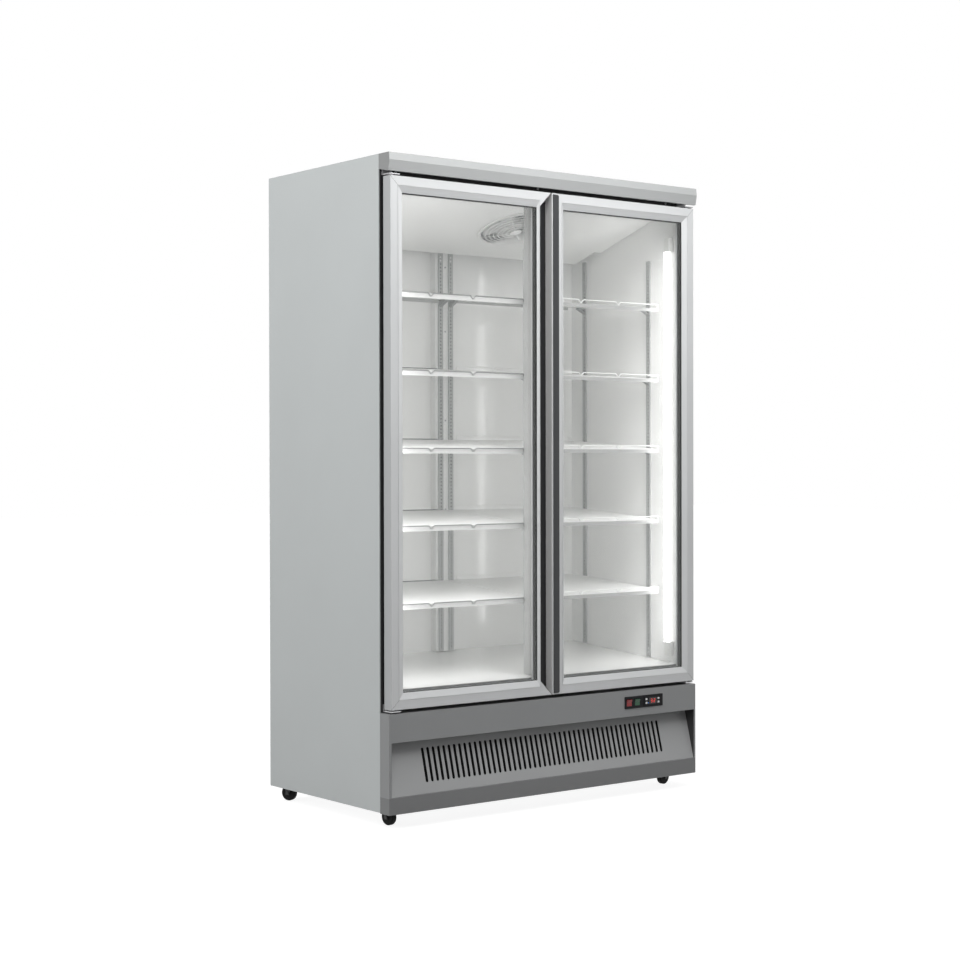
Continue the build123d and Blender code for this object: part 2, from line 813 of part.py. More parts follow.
# Doors, each with its frame, double glazing, gasket and two pivot bushes
glazing_back = glass_front + glazing
for side, s in sides:
    meeting_stile = meeting_stiles[side]
    outer_x = s * door_half
    inner_x = s * door_gap / 2

    def margin_rectangle(outer_margin, inner_margin, end_margin, mode=Mode.ADD):
        """A rectangle inset from the door's outer edge, its meeting edge and its ends."""
        x_mid, x_len = span(outer_x - s * outer_margin, inner_x + s * inner_margin)
        with Locations((x_mid, door_middle)):
            Rectangle(x_len, door_height - 2 * end_margin, mode=mode)

    bead_edge = stile_width - bead_width
    meeting_bead_edge = meeting_stile - meeting_beads[side]
    pocket = stile_width - pocket_depth
    meeting_pocket = meeting_stile - pocket_depth

    with BuildPart() as door_frame:
        with BuildSketch(upright(door_front)):
            margin_rectangle(0, 0, 0)
            margin_rectangle(stile_width, meeting_stile, stile_width, mode=Mode.SUBTRACT)
        extrude(amount=-door_thickness)
        with BuildSketch(upright(glass_front)):
            margin_rectangle(pocket, meeting_pocket, pocket)
        extrude(amount=-glazing, mode=Mode.SUBTRACT)
        with BuildSketch(upright(door_front)):
            margin_rectangle(bead_edge, meeting_bead_edge, bead_edge)
        with BuildSketch(upright(glass_front)):
            margin_rectangle(stile_width, meeting_stile, stile_width)
        loft(mode=Mode.SUBTRACT)
        with BuildSketch(upright(door_front)):
            margin_rectangle(bead_edge - bead_groove, meeting_bead_edge - bead_groove, bead_edge - bead_groove)
            margin_rectangle(bead_edge, meeting_bead_edge, bead_edge, mode=Mode.SUBTRACT)
        extrude(amount=-bead_groove, mode=Mode.SUBTRACT)
        if side == "left":
            add(scoop_wedge.part, mode=Mode.SUBTRACT)
        for end_z, up in ((door_top, 1), (door_bottom, -1)):
            with BuildSketch(Plane.XY.offset(end_z)):
                with Locations((s * pivot_x, pivot_y)):
                    Circle(bush_radius)
            extrude(amount=-up * bush_length, mode=Mode.SUBTRACT)
        front_edges = door_frame.edges().filter_by(Axis.Z).group_by(Axis.Y)[0].sort_by(Axis.X)
        fillet(front_edges[0 if s < 0 else -1], radius=door_edge_radius)
    door_frame.part.label = f"{side}_door_frame"
    export_step(door_frame.part, f"parts/{side}_door_frame.step")

    pane_margin = pocket + glazing_clearance
    meeting_pane_margin = meeting_pocket + glazing_clearance
    with BuildPart() as glass_unit:
        for pane_front in (glass_front, glazing_back - pane_thickness):
            with BuildSketch(upright(pane_front)):
                margin_rectangle(pane_margin, meeting_pane_margin, pane_margin)
            extrude(amount=-pane_thickness)
    glass_unit.part.label = f"{side}_door_glass"
    export_step(glass_unit.part, f"parts/{side}_door_glass.step")

    gasket_inner = gasket_inset + gasket_width
    with BuildPart() as seals:
        with BuildSketch(upright(door_rear)):
            margin_rectangle(gasket_inset, meeting_gasket_inset, gasket_inset)
            margin_rectangle(
                gasket_inner, meeting_gasket_inset + gasket_width, gasket_inner, mode=Mode.SUBTRACT
            )
        extrude(amount=-(gasket_depth - gasket_clearance))
        chamfer(seals.faces().sort_by(Axis.Y)[-1].edges(), length=gasket_chamfer)
        with BuildSketch(upright(glass_front + pane_thickness + seal_film)):
            margin_rectangle(
                pane_margin + spacer_back_gap, meeting_pane_margin + spacer_back_gap,
                pane_margin + spacer_back_gap,
            )
            margin_rectangle(
                stile_width + spacer_reveal, meeting_stile + spacer_reveal, stile_width + spacer_reveal,
                mode=Mode.SUBTRACT,
            )
        extrude(amount=-(glazing_gap - 2 * seal_film))
    seals.part.label = f"{side}_door_seals"
    export_step(seals.part, f"parts/{side}_door_seals.step")

    with BuildPart() as bushes:
        for end_z, up in ((door_top, 1), (door_bottom, -1)):
            with BuildSketch(Plane.XY.offset(end_z)):
                with Locations((s * pivot_x, pivot_y)):
                    Circle(bush_radius)
            extrude(amount=-up * bush_length)
            with BuildSketch(Plane.XY.offset(end_z)):
                with Locations((s * pivot_x, pivot_y)):
                    Circle(bush_flange_radius)
            extrude(amount=up * bush_flange, taper=12)
            with BuildSketch(Plane.XY.offset(end_z + up * bush_flange)):
                with Locations((s * pivot_x, pivot_y)):
                    Circle(hinge_pin_radius + hinge_running_gap)
            extrude(amount=-up * (bush_flange + bush_length), mode=Mode.SUBTRACT)
    bushes.part.label = f"{side}_door_bushes"
    export_step(bushes.part, f"parts/{side}_door_bushes.step")

# Black liner that lies in the scoop of the left door
with BuildPart() as grip_liner:
    add(scoop_wedge.part)
    add(Pos(0, -scoop_liner, 0) * scoop_wedge.part, mode=Mode.SUBTRACT)
grip_liner.part.label = "left_grip_liner"
export_step(grip_liner.part, "parts/left_grip_liner.step")

# Dark grip strip on the right door's meeting stile
with BuildPart() as grip_strip:
    strip_x = door_gap / 2 + grip_strip_inset + grip_strip_width / 2
    with BuildSketch(upright(door_front - grip_strip_thickness)):
        with Locations((strip_x, door_middle)):
            Rectangle(grip_strip_width, door_height - 2 * grip_strip_end_gap)
    extrude(amount=-grip_strip_thickness)
    glass_side = grip_strip.edges().filter_by(Axis.Y).group_by(Axis.X)[-1]
    fillet(glass_side, radius=grip_strip_radius)
grip_strip.part.label = "right_grip_strip"
export_step(grip_strip.part, "parts/right_grip_strip.step")

# Hinge brackets, each an angle with its pin riveted in
bracket_front = door_front + bracket_front_setback
with BuildPart() as hinge_brackets:
    for end_z, up, leg in ((door_top, 1, bracket_leg), (door_bottom, -1, lower_bracket_leg)):
        plate_near = end_z + up * (bush_flange + bracket_gap)
        plate_far = plate_near + up * bracket_sheet
        leg_end = plate_near + leg
        for side, s in sides:
            outer = s * door_half
            inner = s * (door_half - bracket_width)
            add_box(inner, outer, bracket_front, frame_front, plate_near, plate_far)
            add_box(inner, outer, frame_front - bracket_sheet, frame_front, min(plate_near, plate_far), leg_end)
            with BuildSketch(Plane.XY.offset(plate_far)):
                with Locations((s * pivot_x, pivot_y)):
                    Circle(hinge_pin_radius)
            extrude(amount=-up * (bush_flange + bracket_gap + bracket_sheet + bush_length
                             - hinge_pin_end_gap))
hinge_brackets.part.label = "hinge_brackets"
export_step(hinge_brackets.part, "parts/hinge_brackets.step")


def slotted_standard(length):
    """A channel with a column of slots, standing on its lower end with its back at Y zero."""
    slots = int((length - standard_pitch) // standard_pitch)
    with BuildPart() as standard:
        with BuildSketch(Plane.XY):
            with Locations((0, -standard_depth / 2)):
                Rectangle(standard_width, standard_depth)
            with Locations((0, -(standard_depth - standard_sheet) / 2)):
                Rectangle(
                    standard_width - 2 * standard_sheet, standard_depth - standard_sheet, mode=Mode.SUBTRACT
                )
        extrude(amount=length)
        with BuildSketch(upright(-standard_depth)):
            with Locations((0, length / 2)):
                with GridLocations(1, standard_pitch, 1, slots):
                    Rectangle(standard_slot_width, standard_slot_height)
        extrude(amount=-standard_sheet, mode=Mode.SUBTRACT)
    return standard.part


# Places of the standards: two on each side wall, two on the mullion's back, two on the post
rear_row_y = liner_back - rear_standard_from_back
front_row_y = rear_row_y - standard_spacing
wall_places = [
    (s * liner_half, row_y, -90 * s) for s in (-1, 1) for row_y in (front_row_y, rear_row_y)
]
mullion_places = [(s * standard_offset, mullion_rear, 180) for s in (-1, 1)]
post_places = [(s * standard_offset, post_front, 0) for s in (-1, 1)]
centre_front_z = floor_height(mullion_rear + standard_depth) + standard_floor_gap
centre_rear_z = floor_rear_height + standard_floor_gap
long_standard = slotted_standard(standard_length)
with BuildPart() as shelf_standards:
    for x, y, turn in wall_places:
        wall_z = floor_height(y + standard_width / 2) + standard_floor_gap
        add(Location((x, y, wall_z), (0, 0, turn)) * long_standard)
    for x, y, turn in mullion_places:
        add(Location((x, y, centre_front_z), (0, 0, turn)) * long_standard)
    for x, y, turn in post_places:
        add(Location((x, y, centre_rear_z), (0, 0, turn)) * slotted_standard(post_top - centre_rear_z))
shelf_standards.part.label = "shelf_standards"
export_step(shelf_standards.part, "parts/shelf_standards.step")

# Shelf levels, each a tilted plane through the underside of its shelves
shelf_front_y = door_front + shelf_front_gap
shelf_rear_y = liner_back - shelf_rear_gap


def shelf_underside(level, y):
    """Height of a shelf's underside at depth y."""
    return lowest_shelf_front + level * shelf_pitch - shelf_sheet + (y - shelf_front_y) * shelf_slope


def shelf_plane(level):
    """Tilted plane of a shelf's underside; its origin is at the front edge, X across, Y back."""
    lean = radians(shelf_tilt)
    return Plane(
        origin=(0, shelf_front_y, shelf_underside(level, shelf_front_y)),
        x_dir=(1, 0, 0), z_dir=(0, -sin(lean), cos(lean)),
    )


# Triangular clip: its back edge meets a standard and a shelf lies on its level top
with BuildPart() as clip:
    with BuildSketch(Plane.YZ):
        with BuildLine():
            Polyline((0, 0), (-clip_length, 0), (-clip_length, -clip_rim), (0, -clip_drop), close=True)
        make_face()
        with BuildLine():
            Polyline(
                (-clip_rim, -clip_rim), (clip_rim - 0.75 * clip_length, -clip_rim),
                (-clip_rim, clip_rim - clip_drop), close=True,
            )
        make_face(mode=Mode.SUBTRACT)
    extrude(amount=clip_width / 2, both=True)

# Each clip's place, its turn and the depth of the front edge of its top
clip_places = []
for s in (-1, 1):
    for row_y in (front_row_y, rear_row_y):
        clip_places.append((s * (liner_half - standard_depth), row_y, -90 * s, row_y - clip_width / 2))
    mullion_clip_y = mullion_rear + standard_depth
    clip_places.append((s * standard_offset, mullion_clip_y, 180, mullion_clip_y))
    post_clip_y = post_front - standard_depth
    clip_places.append((s * standard_offset, post_clip_y, 0, post_clip_y - clip_length))
with BuildPart() as shelf_clips:
    for level in range(shelf_count):
        for x, y, turn, top_front_y in clip_places:
            clip_top = shelf_underside(level, max(top_front_y, shelf_front_y)) - clip_clearance
            add(Location((x, y, clip_top), (0, 0, turn)) * clip.part)
shelf_clips.part.label = "shelf_clips"
export_step(shelf_clips.part, "parts/shelf_clips.step")

# Shelf outlines, seen from above: X across, Y back from the shelf's front edge
shelf_depth = (shelf_rear_y - shelf_front_y) / cos(radians(shelf_tilt))
shelf_outer = liner_half - shelf_outer_gap
shelf_centre = shelf_centre_gap / 2
rail_centre = mullion_width / 2 + mullion_clearance
lamp_notch_edge = shelf_outer - lamp_notch_width
mullion_notch = mullion_rear + standard_depth + mullion_notch_gap - shelf_front_y
shelf_ends = {
    "left": (-shelf_outer, -rail_centre),
    "right": (rail_centre, lamp_notch_edge),
}
shelf_outlines = {
    "left": [
        (-shelf_outer, 0), (-rail_centre, 0), (-rail_centre, mullion_notch), (-shelf_centre, mullion_notch),
        (-shelf_centre, shelf_depth), (-shelf_outer, shelf_depth),
    ],
    "right": [
        (rail_centre, 0), (lamp_notch_edge, 0), (lamp_notch_edge, lamp_notch_depth),
        (shelf_outer, lamp_notch_depth), (shelf_outer, shelf_depth), (shelf_centre, shelf_depth),
        (shelf_centre, mullion_notch), (rail_centre, mullion_notch),
    ],
}
for side, s in sides:
    lip_start, lip_end = shelf_ends[side]
    with BuildPart() as shelves:
        for level in range(shelf_count):
            plane = shelf_plane(level)
            with BuildSketch(plane):
                with BuildLine():
                    Polyline(*shelf_outlines[side], close=True)
                make_face()
            extrude(amount=shelf_sheet)
            with BuildSketch(plane):
                with Locations(((lip_start + lip_end) / 2, shelf_sheet / 2)):
                    Rectangle(lip_end - lip_start, shelf_sheet)
                rear_mid, rear_len = span(s * rail_centre, s * (shelf_outer - clip_length))
                with Locations((rear_mid, shelf_depth - shelf_sheet / 2)):
                    Rectangle(rear_len, shelf_sheet)
            extrude(amount=shelf_sheet - shelf_lips[side])
    shelves.part.label = f"{side}_shelves"
    export_step(shelves.part, f"parts/{side}_shelves.step")

# Wire rails on the faces of each shelf's front and rear lips, with two V notches
with BuildPart() as shelf_rails:
    for level in range(shelf_count):
        for side, s in sides:
            start, end = shelf_ends[side]
            rail_height = rail_heights[side]
            stand_off = rail_wire / 2 + rail_weld_gap
            for inset in (-stand_off, shelf_depth + stand_off):
                base = shelf_plane(level)
                wall = Plane(
                    origin=base.from_local_coords((0, inset, shelf_sheet)), x_dir=(1, 0, 0), z_dir=-base.y_dir
                )
                first = start + rail_first_notch
                second = first + rail_notch_pitch
                low = rail_height - rail_notch_depth
                with BuildLine(wall) as wire_path:
                    FilletPolyline(
                        (start + rail_wire, -rail_foot),
                        (start + rail_wire, rail_height),
                        (first - rail_notch_half_width, rail_height),
                        (first, low),
                        (first + rail_notch_half_width, rail_height),
                        (second - rail_notch_half_width, rail_height),
                        (second, low),
                        (second + rail_notch_half_width, rail_height),
                        (end - rail_wire, rail_height),
                        (end - rail_wire, -rail_foot),
                        radius=rail_bend,
                    )
                with BuildSketch(Plane(wire_path.line @ 0, z_dir=wire_path.line % 0)):
                    Circle(rail_wire / 2)
                sweep(path=wire_path.line)
shelf_rails.part.label = "shelf_rails"
export_step(shelf_rails.part, "parts/shelf_rails.step")

# Lamps in the front corners of the liner, with a holder at each end
lamp_x = liner_half - lamp_wall_gap - lamp_radius
lamp_y = door_front + lamp_setback
with BuildPart() as lamps:
    with BuildSketch(Plane.XY.offset(lamp_bottom)):
        with Locations((-lamp_x, lamp_y), (lamp_x, lamp_y)):
            Circle(lamp_radius)
    extrude(amount=lamp_top - lamp_bottom)
lamps.part.label = "lamps"
export_step(lamps.part, "parts/lamps.step")

with BuildPart() as lamp_holders:
    for s in (-1, 1):
        for z0, z1 in ((lamp_bottom - holder_length, lamp_bottom), (lamp_top, lamp_top + holder_length)):
            add_box(s * (liner_half - holder_depth), s * liner_half, lamp_y - holder_width / 2,
                    lamp_y + holder_width / 2, z0, z1)
    fillet(lamp_holders.edges().filter_by(Axis.Z), radius=2)
lamp_holders.part.label = "lamp_holders"
export_step(lamp_holders.part, "parts/lamp_holders.step")

# Evaporator cover: a sheet that slopes down from the ceiling and stops short of the back wall,
# with a strip at each end that runs level to the wall
cover_half = liner_half - cover_clearance
cover_back = liner_back - cover_clearance


def sheet_profile(points):
    """Closed outline of a sheet whose underside follows the points."""
    return points + [(y, z + cover_sheet) for y, z in reversed(points)]


main_half = cover_half - cover_end_width
step_z = cover_height(cover_step_y)
cover_rear_z = cover_height(cover_rear_y)
fan_y = cover_start_y + fan_from_start
cover_lean = degrees(atan(cover_slope))
cover_normal = Vector(0, -sin(radians(cover_lean)), -cos(radians(cover_lean)))
fan_centre = Vector(fan_x, fan_y, cover_height(fan_y))
fan_face = Plane(origin=fan_centre, x_dir=(1, 0, 0), z_dir=cover_normal)
with BuildPart() as evaporator_cover:
    with BuildSketch(Plane.YZ):
        with BuildLine():
            Polyline(
                *sheet_profile([(cover_start_y, cover_height(cover_start_y)), (cover_rear_y, cover_rear_z)]),
                close=True,
            )
        make_face()
    extrude(amount=main_half, both=True)
    add_box(-main_half, main_half, cover_rear_y - cover_sheet, cover_rear_y,
            cover_rear_z, cover_rear_z + cover_rear_lip)
    for s in (-1, 1):
        with BuildSketch(Plane.YZ.offset(s * main_half)):
            with BuildLine():
                Polyline(
                    *sheet_profile([
                        (cover_start_y, cover_height(cover_start_y)),
                        (cover_step_y, step_z),
                        (cover_back, step_z),
                    ]),
                    close=True,
                )
            make_face()
        extrude(amount=s * cover_end_width)
        with BuildSketch(Plane.YZ.offset(s * main_half)):
            with BuildLine():
                Polyline((cover_step_y, step_z + cover_sheet), (cover_rear_y, step_z + cover_sheet),
                         (cover_rear_y, cover_rear_z), (cover_step_y, step_z), close=True)
            make_face()
        extrude(amount=-s * cover_sheet)
    with BuildSketch(fan_face):
        Circle(fan_hole_radius + bell_width)
    extrude(amount=bell_height)
    with BuildSketch(fan_face):
        Circle(fan_hole_radius)
    extrude(amount=2 * bell_height, both=True, mode=Mode.SUBTRACT)
evaporator_cover.part.label = "evaporator_cover"
export_step(evaporator_cover.part, "parts/evaporator_cover.step")

# Wire guard over the fan opening: rings on a shallow dome, joined by spokes
ring_step = (guard_outer_radius - guard_inner_radius) / (guard_rings - 1)
guard_section = Plane(origin=fan_centre, x_dir=(1, 0, 0), z_dir=fan_face.y_dir)
fan_axis = Axis(fan_centre, cover_normal)


def guard_dome(radius):
    """Height of the guard's dome below the cover at a radius."""
    return guard_wire + guard_bulge * (1 - (radius / guard_outer_radius) ** 2)


out_of_cover = -1 if (guard_section.y_dir.dot(cover_normal)) < 0 else 1
with BuildPart() as fan_guard:
    with BuildSketch(guard_section):
        for ring in range(guard_rings):
            radius = guard_inner_radius + ring * ring_step
            with Locations((radius, out_of_cover * guard_dome(radius))):
                Circle(guard_wire)
    revolve(axis=fan_axis, revolution_arc=360)
    hub_centre = fan_centre + cover_normal * guard_bulge
    with BuildSketch(Plane(origin=hub_centre, x_dir=(1, 0, 0), z_dir=cover_normal)):
        Circle(guard_inner_radius + guard_wire)
    extrude(amount=2 * guard_wire)
    for turn in range(guard_spokes):
        angle = 360 / guard_spokes * (turn + 0.5)
        direction = fan_face.x_dir * cos(radians(angle)) + fan_face.y_dir * sin(radians(angle))
        inner_end = fan_centre + direction * guard_inner_radius + cover_normal * guard_dome(guard_inner_radius)
        outer_end = fan_centre + direction * guard_outer_radius + cover_normal * guard_dome(guard_outer_radius)
        middle_radius = (guard_inner_radius + guard_outer_radius) / 2
        middle = fan_centre + direction * middle_radius + cover_normal * guard_dome(middle_radius)
        with BuildLine() as spoke_line:
            ThreePointArc(inner_end, middle, outer_end)
        with BuildSketch(Plane(spoke_line.line @ 0, z_dir=spoke_line.line % 0)):
            Circle(guard_wire)
        sweep(path=spoke_line.line)
fan_guard.part.label = "fan_guard"
export_step(fan_guard.part, "parts/fan_guard.step")


def fan_rotor(plane, hub_radius, tip_radius, height):
    """A fan rotor on a plane: a hub bored for its spindle, with pitched blades."""
    with BuildPart() as rotor:
        with BuildSketch(plane):
            Circle(hub_radius)
        extrude(amount=height)
        for blade in range(fan_blades):
            around = 360 / fan_blades * blade
            radial = plane.x_dir * cos(radians(around)) + plane.y_dir * sin(radians(around))
            foot = plane.origin + plane.z_dir * (height / 2) + radial * (hub_radius - 2)
            section = Plane(origin=foot, x_dir=plane.z_dir, z_dir=radial)
            with BuildSketch(section):
                Rectangle(blade_sheet, 1.6 * height, rotation=root_pitch)
            tip = Plane(origin=foot + radial * (tip_radius - hub_radius), x_dir=plane.z_dir, z_dir=radial)
            with BuildSketch(tip):
                Rectangle(blade_sheet, 2.8 * height, rotation=tip_pitch)
            loft()
        with BuildSketch(plane):
            Circle(motor_spindle_radius + motor_running_gap)
        extrude(amount=height, mode=Mode.SUBTRACT)
    return rotor.part


# Evaporator fan: the rotor hangs in the opening, its motor sits above it on a bridge
rotor_origin = fan_centre - cover_normal * (evaporator_hub_height + rotor_setback)
rotor_base = Plane(origin=rotor_origin, x_dir=(1, 0, 0), z_dir=cover_normal)
evaporator_fan = fan_rotor(
    rotor_base, evaporator_hub_radius, evaporator_rotor_radius, evaporator_hub_height
)
evaporator_fan.label = "evaporator_fan"
export_step(evaporator_fan, "parts/evaporator_fan.step")


def finned_coil(x_mid, width, y0, y1, z0, z1, pitch, fin, tube_rows):
    """A coil: upright fins on rows of level tubes."""
    depth_step = (y1 - y0) / (tube_rows[0] + 1)
    rise_step = (z1 - z0) / (tube_rows[1] + 1)
    fins = int(width // pitch)
    with BuildPart() as coil:
        with Locations((x_mid, (y0 + y1) / 2, (z0 + z1) / 2)):
            with GridLocations(pitch, 1, fins, 1):
                Box(fin, y1 - y0, z1 - z0)
        with BuildSketch(Plane.YZ.offset(x_mid)):
            with Locations(((y0 + y1) / 2, (z0 + z1) / 2)):
                with GridLocations(depth_step, rise_step, *tube_rows):
                    Circle(coil_tube_radius)
        extrude(amount=width / 2, both=True)
    return coil.part


# Evaporator coil between the cover and the ceiling, behind the fan
coil_rear_y = liner_back - coil_back_gap
coil_width = 2 * (liner_half - coil_side_gap)
coil_front_y = coil_rear_y - coil_depth
evaporator_coil_base = cover_height(coil_front_y) + cover_sheet + coil_lift
evaporator_coil = finned_coil(
    0, coil_width, coil_front_y, coil_rear_y, evaporator_coil_base, evaporator_coil_base + coil_height,
    coil_fin_pitch, coil_fin, (2, 2),
)
evaporator_coil.label = "evaporator_coil"
export_step(evaporator_coil, "parts/evaporator_coil.step")

# Compressor: a welded pot with a domed lid, on four feet
with BuildPart() as compressor:
    pot_bottom = base_plate_height + compressor_foot
    with BuildSketch(Plane.XY.offset(pot_bottom)):
        with Locations((compressor_x, compressor_y)):
            Ellipse(compressor_long_radius, compressor_radius)
    extrude(amount=compressor_height - compressor_foot)
    fillet(compressor.edges().group_by(Axis.Z)[-1], radius=compressor_dome)
    fillet(compressor.edges().group_by(Axis.Z)[0], radius=compressor_base_round)
    with Locations((compressor_x, compressor_y, base_plate_height + compressor_seam_height)):
        Cylinder(compressor_seam_radius, compressor_seam)
    for dx in (-1, 1):
        for dy in (-1, 1):
            foot_x = compressor_x + dx * compressor_foot_x
            foot_y = compressor_y + dy * compressor_foot_y
            with Locations((foot_x, foot_y, base_plate_height + compressor_foot)):
                Cylinder(compressor_foot_radius, 2 * compressor_foot)
compressor.part.label = "compressor"
export_step(compressor.part, "parts/compressor.step")

# Condenser coil behind the air grille, with its shroud, motor and fan
condenser_rear_y = condenser_front_y + condenser_depth
condenser_z0 = base_plate_height
condenser_z1 = condenser_z0 + condenser_height
condenser_coil = finned_coil(
    condenser_x, condenser_width, condenser_front_y, condenser_rear_y, condenser_z0, condenser_z1,
    condenser_fin_pitch, condenser_fin, (2, 5),
)
condenser_coil.label = "condenser_coil"
export_step(condenser_coil, "parts/condenser_coil.step")

shroud_front_y = condenser_rear_y + shroud_gap
fan_axis_z = (condenser_z0 + condenser_z1) / 2
rotor_y = shroud_front_y + shroud_depth - rotor_setback
rotor_plane = Plane(origin=(condenser_x, rotor_y, fan_axis_z), x_dir=(1, 0, 0), z_dir=(0, -1, 0))
with BuildPart() as fan_shroud:
    with BuildSketch(upright(shroud_front_y)):
        with Locations((condenser_x, fan_axis_z)):
            Rectangle(condenser_width, condenser_height)
            Circle(shroud_hole_radius, mode=Mode.SUBTRACT)
    extrude(amount=-shroud_sheet)
    with BuildSketch(upright(shroud_front_y)):
        with Locations((condenser_x, fan_axis_z)):
            Circle(shroud_hole_radius + shroud_sheet)
            Circle(shroud_hole_radius, mode=Mode.SUBTRACT)
    extrude(amount=-shroud_depth)
fan_shroud.part.label = "fan_shroud"
export_step(fan_shroud.part, "parts/fan_shroud.step")

condenser_fan = fan_rotor(
    rotor_plane, condenser_hub_radius, condenser_rotor_radius, condenser_hub_height
)
condenser_fan.label = "condenser_fan"
export_step(condenser_fan, "parts/condenser_fan.step")

# Motors of both fans: the upper one hangs on four arms, the lower one stands on a foot
hanging_face = Plane(origin=rotor_base.origin - cover_normal * motor_gap, x_dir=(1, 0, 0), z_dir=cover_normal)
arm_centre = hanging_face.origin - cover_normal * motor_arm_back
arm_height = (arm_centre - fan_centre).length
arm_foot_lift = cover_sheet + clip_clearance
standing_y = rotor_plane.origin.Y + motor_gap
stand_y = standing_y + motor_arm_back
with BuildPart() as fan_motors:
    with BuildSketch(hanging_face):
        Circle(evaporator_motor_radius)
    extrude(amount=-evaporator_motor_height)
    with BuildSketch(hanging_face):
        Circle(motor_spindle_radius)
    extrude(amount=motor_gap + evaporator_hub_height + motor_spindle_end)
    for angle in (45, 135, 225, 315):
        direction = fan_face.x_dir * cos(radians(angle)) + fan_face.y_dir * sin(radians(angle))
        across = direction.cross(cover_normal)
        with BuildSketch(Plane(origin=arm_centre, x_dir=across, z_dir=direction)):
            Rectangle(motor_arm_width, motor_arm_sheet)
        extrude(amount=fan_hole_radius + motor_arm_width)
        foot_centre = fan_centre + direction * (fan_hole_radius + motor_arm_width / 2)
        arm_foot = Plane(
            origin=foot_centre - cover_normal * arm_foot_lift, x_dir=across, z_dir=-cover_normal
        )
        with BuildSketch(arm_foot):
            Rectangle(motor_arm_width, motor_arm_width)
        extrude(amount=arm_height - arm_foot_lift)
    with BuildSketch(upright(standing_y)):
        with Locations((condenser_x, fan_axis_z)):
            Circle(condenser_motor_radius)
    extrude(amount=-condenser_motor_height)
    with BuildSketch(upright(standing_y)):
        with Locations((condenser_x, fan_axis_z)):
            Circle(motor_spindle_radius)
    extrude(amount=motor_gap + condenser_hub_height + motor_spindle_end)
    add_box(
        condenser_x - motor_stand_width / 2, condenser_x + motor_stand_width / 2,
        stand_y, stand_y + motor_arm_sheet, base_plate_height, fan_axis_z,
    )
    add_box(
        condenser_x - motor_stand_width / 2, condenser_x + motor_stand_width / 2,
        stand_y, stand_y + motor_foot_length, base_plate_height, base_plate_height + motor_arm_sheet,
    )
fan_motors.part.label = "fan_motors"
export_step(fan_motors.part, "parts/fan_motors.step")

# Electrics box at the back, and the gland that leads the mains cord into it
box_rear = box_y + box_depth / 2
with BuildPart() as electrics_box:
    add_box(box_x - box_width / 2, box_x + box_width / 2, box_y - box_depth / 2, box_rear,
            base_plate_height, base_plate_height + box_height)
    fillet(electrics_box.edges().filter_by(Axis.Z), radius=4)
    with BuildSketch(upright(rear)):
        with Locations((box_x, gland_z)):
            Circle(gland_radius)
            Circle(cord_bore_radius, mode=Mode.SUBTRACT)
    extrude(amount=rear - box_rear - panel_fit)
electrics_box.part.label = "electrics_box"
export_step(electrics_box.part, "parts/electrics_box.step")

# Copper pipes: one to a condenser tube, one up into the foam towards the evaporator
condenser_end_x = condenser_x - condenser_width / 2
condenser_tube_y = condenser_front_y + condenser_depth / 3
condenser_tube_z = condenser_z0 + condenser_height / 6
pipe_corner_x = (compressor_x + condenser_end_x) / 2 + pipe_bend
pipe_back_y = compressor_y + compressor_radius + 2.5 * pipe_bend
pipe_high_z = base_plate_height + compressor_height / 2
pipe_runs = [
    [
        (compressor_x, compressor_y - compressor_radius / 2, condenser_tube_z),
        (pipe_corner_x, compressor_y - compressor_radius / 2, condenser_tube_z),
        (pipe_corner_x, condenser_tube_y, condenser_tube_z),
        (condenser_end_x, condenser_tube_y, condenser_tube_z),
    ],
    [
        (compressor_x, compressor_y, pipe_high_z),
        (compressor_x, pipe_back_y, pipe_high_z),
        (compressor_x, pipe_back_y, foam_bottom),
    ],
]
with BuildPart() as copper_pipes:
    for run in pipe_runs:
        with BuildLine() as pipe_line:
            FilletPolyline(*run, radius=pipe_bend)
        with BuildSketch(Plane(pipe_line.line @ 0, z_dir=pipe_line.line % 0)):
            Circle(pipe_radius)
        sweep(path=pipe_line.line)
    add(compressor.part, mode=Mode.SUBTRACT)
copper_pipes.part.label = "copper_pipes"
export_step(copper_pipes.part, "parts/copper_pipes.step")

# Casters, each a plate with its kingpin, a swivel fork with its axle, and a wheel
caster_centres = {
    "front_left": (-half_width + caster_inset_x, door_front + front_caster_setback),
    "front_right": (half_width - caster_inset_x, door_front + front_caster_setback),
    "rear_left": (-half_width + caster_inset_x, rear - rear_caster_setback),
    "rear_right": (half_width - caster_inset_x, rear - rear_caster_setback),
}
plate_top = base_plate_height - base_sheet
plate_under = plate_top - caster_plate_sheet
crown_top = plate_under - swivel_gap
crown_bottom = crown_top - 2 * fork_sheet
kingpin_end = crown_bottom - swivel_gap - kingpin_head
with BuildPart() as caster_plates:
    for cx, cy in caster_centres.values():
        with BuildSketch(Plane.XY.offset(plate_under)):
            with Locations((cx, cy)):
                RectangleRounded(caster_plate_size, caster_plate_size, 5)
        extrude(amount=caster_plate_sheet)
        with BuildSketch(Plane.XY.offset(plate_under)):
            with Locations((cx, cy)):
                Circle(kingpin_radius)
        extrude(amount=kingpin_end - plate_under)
        with BuildSketch(Plane.XY.offset(kingpin_end)):
            with Locations((cx, cy)):
                Circle(kingpin_head_radius)
        extrude(amount=kingpin_head)
caster_plates.part.label = "caster_plates"
export_step(caster_plates.part, "parts/caster_plates.step")

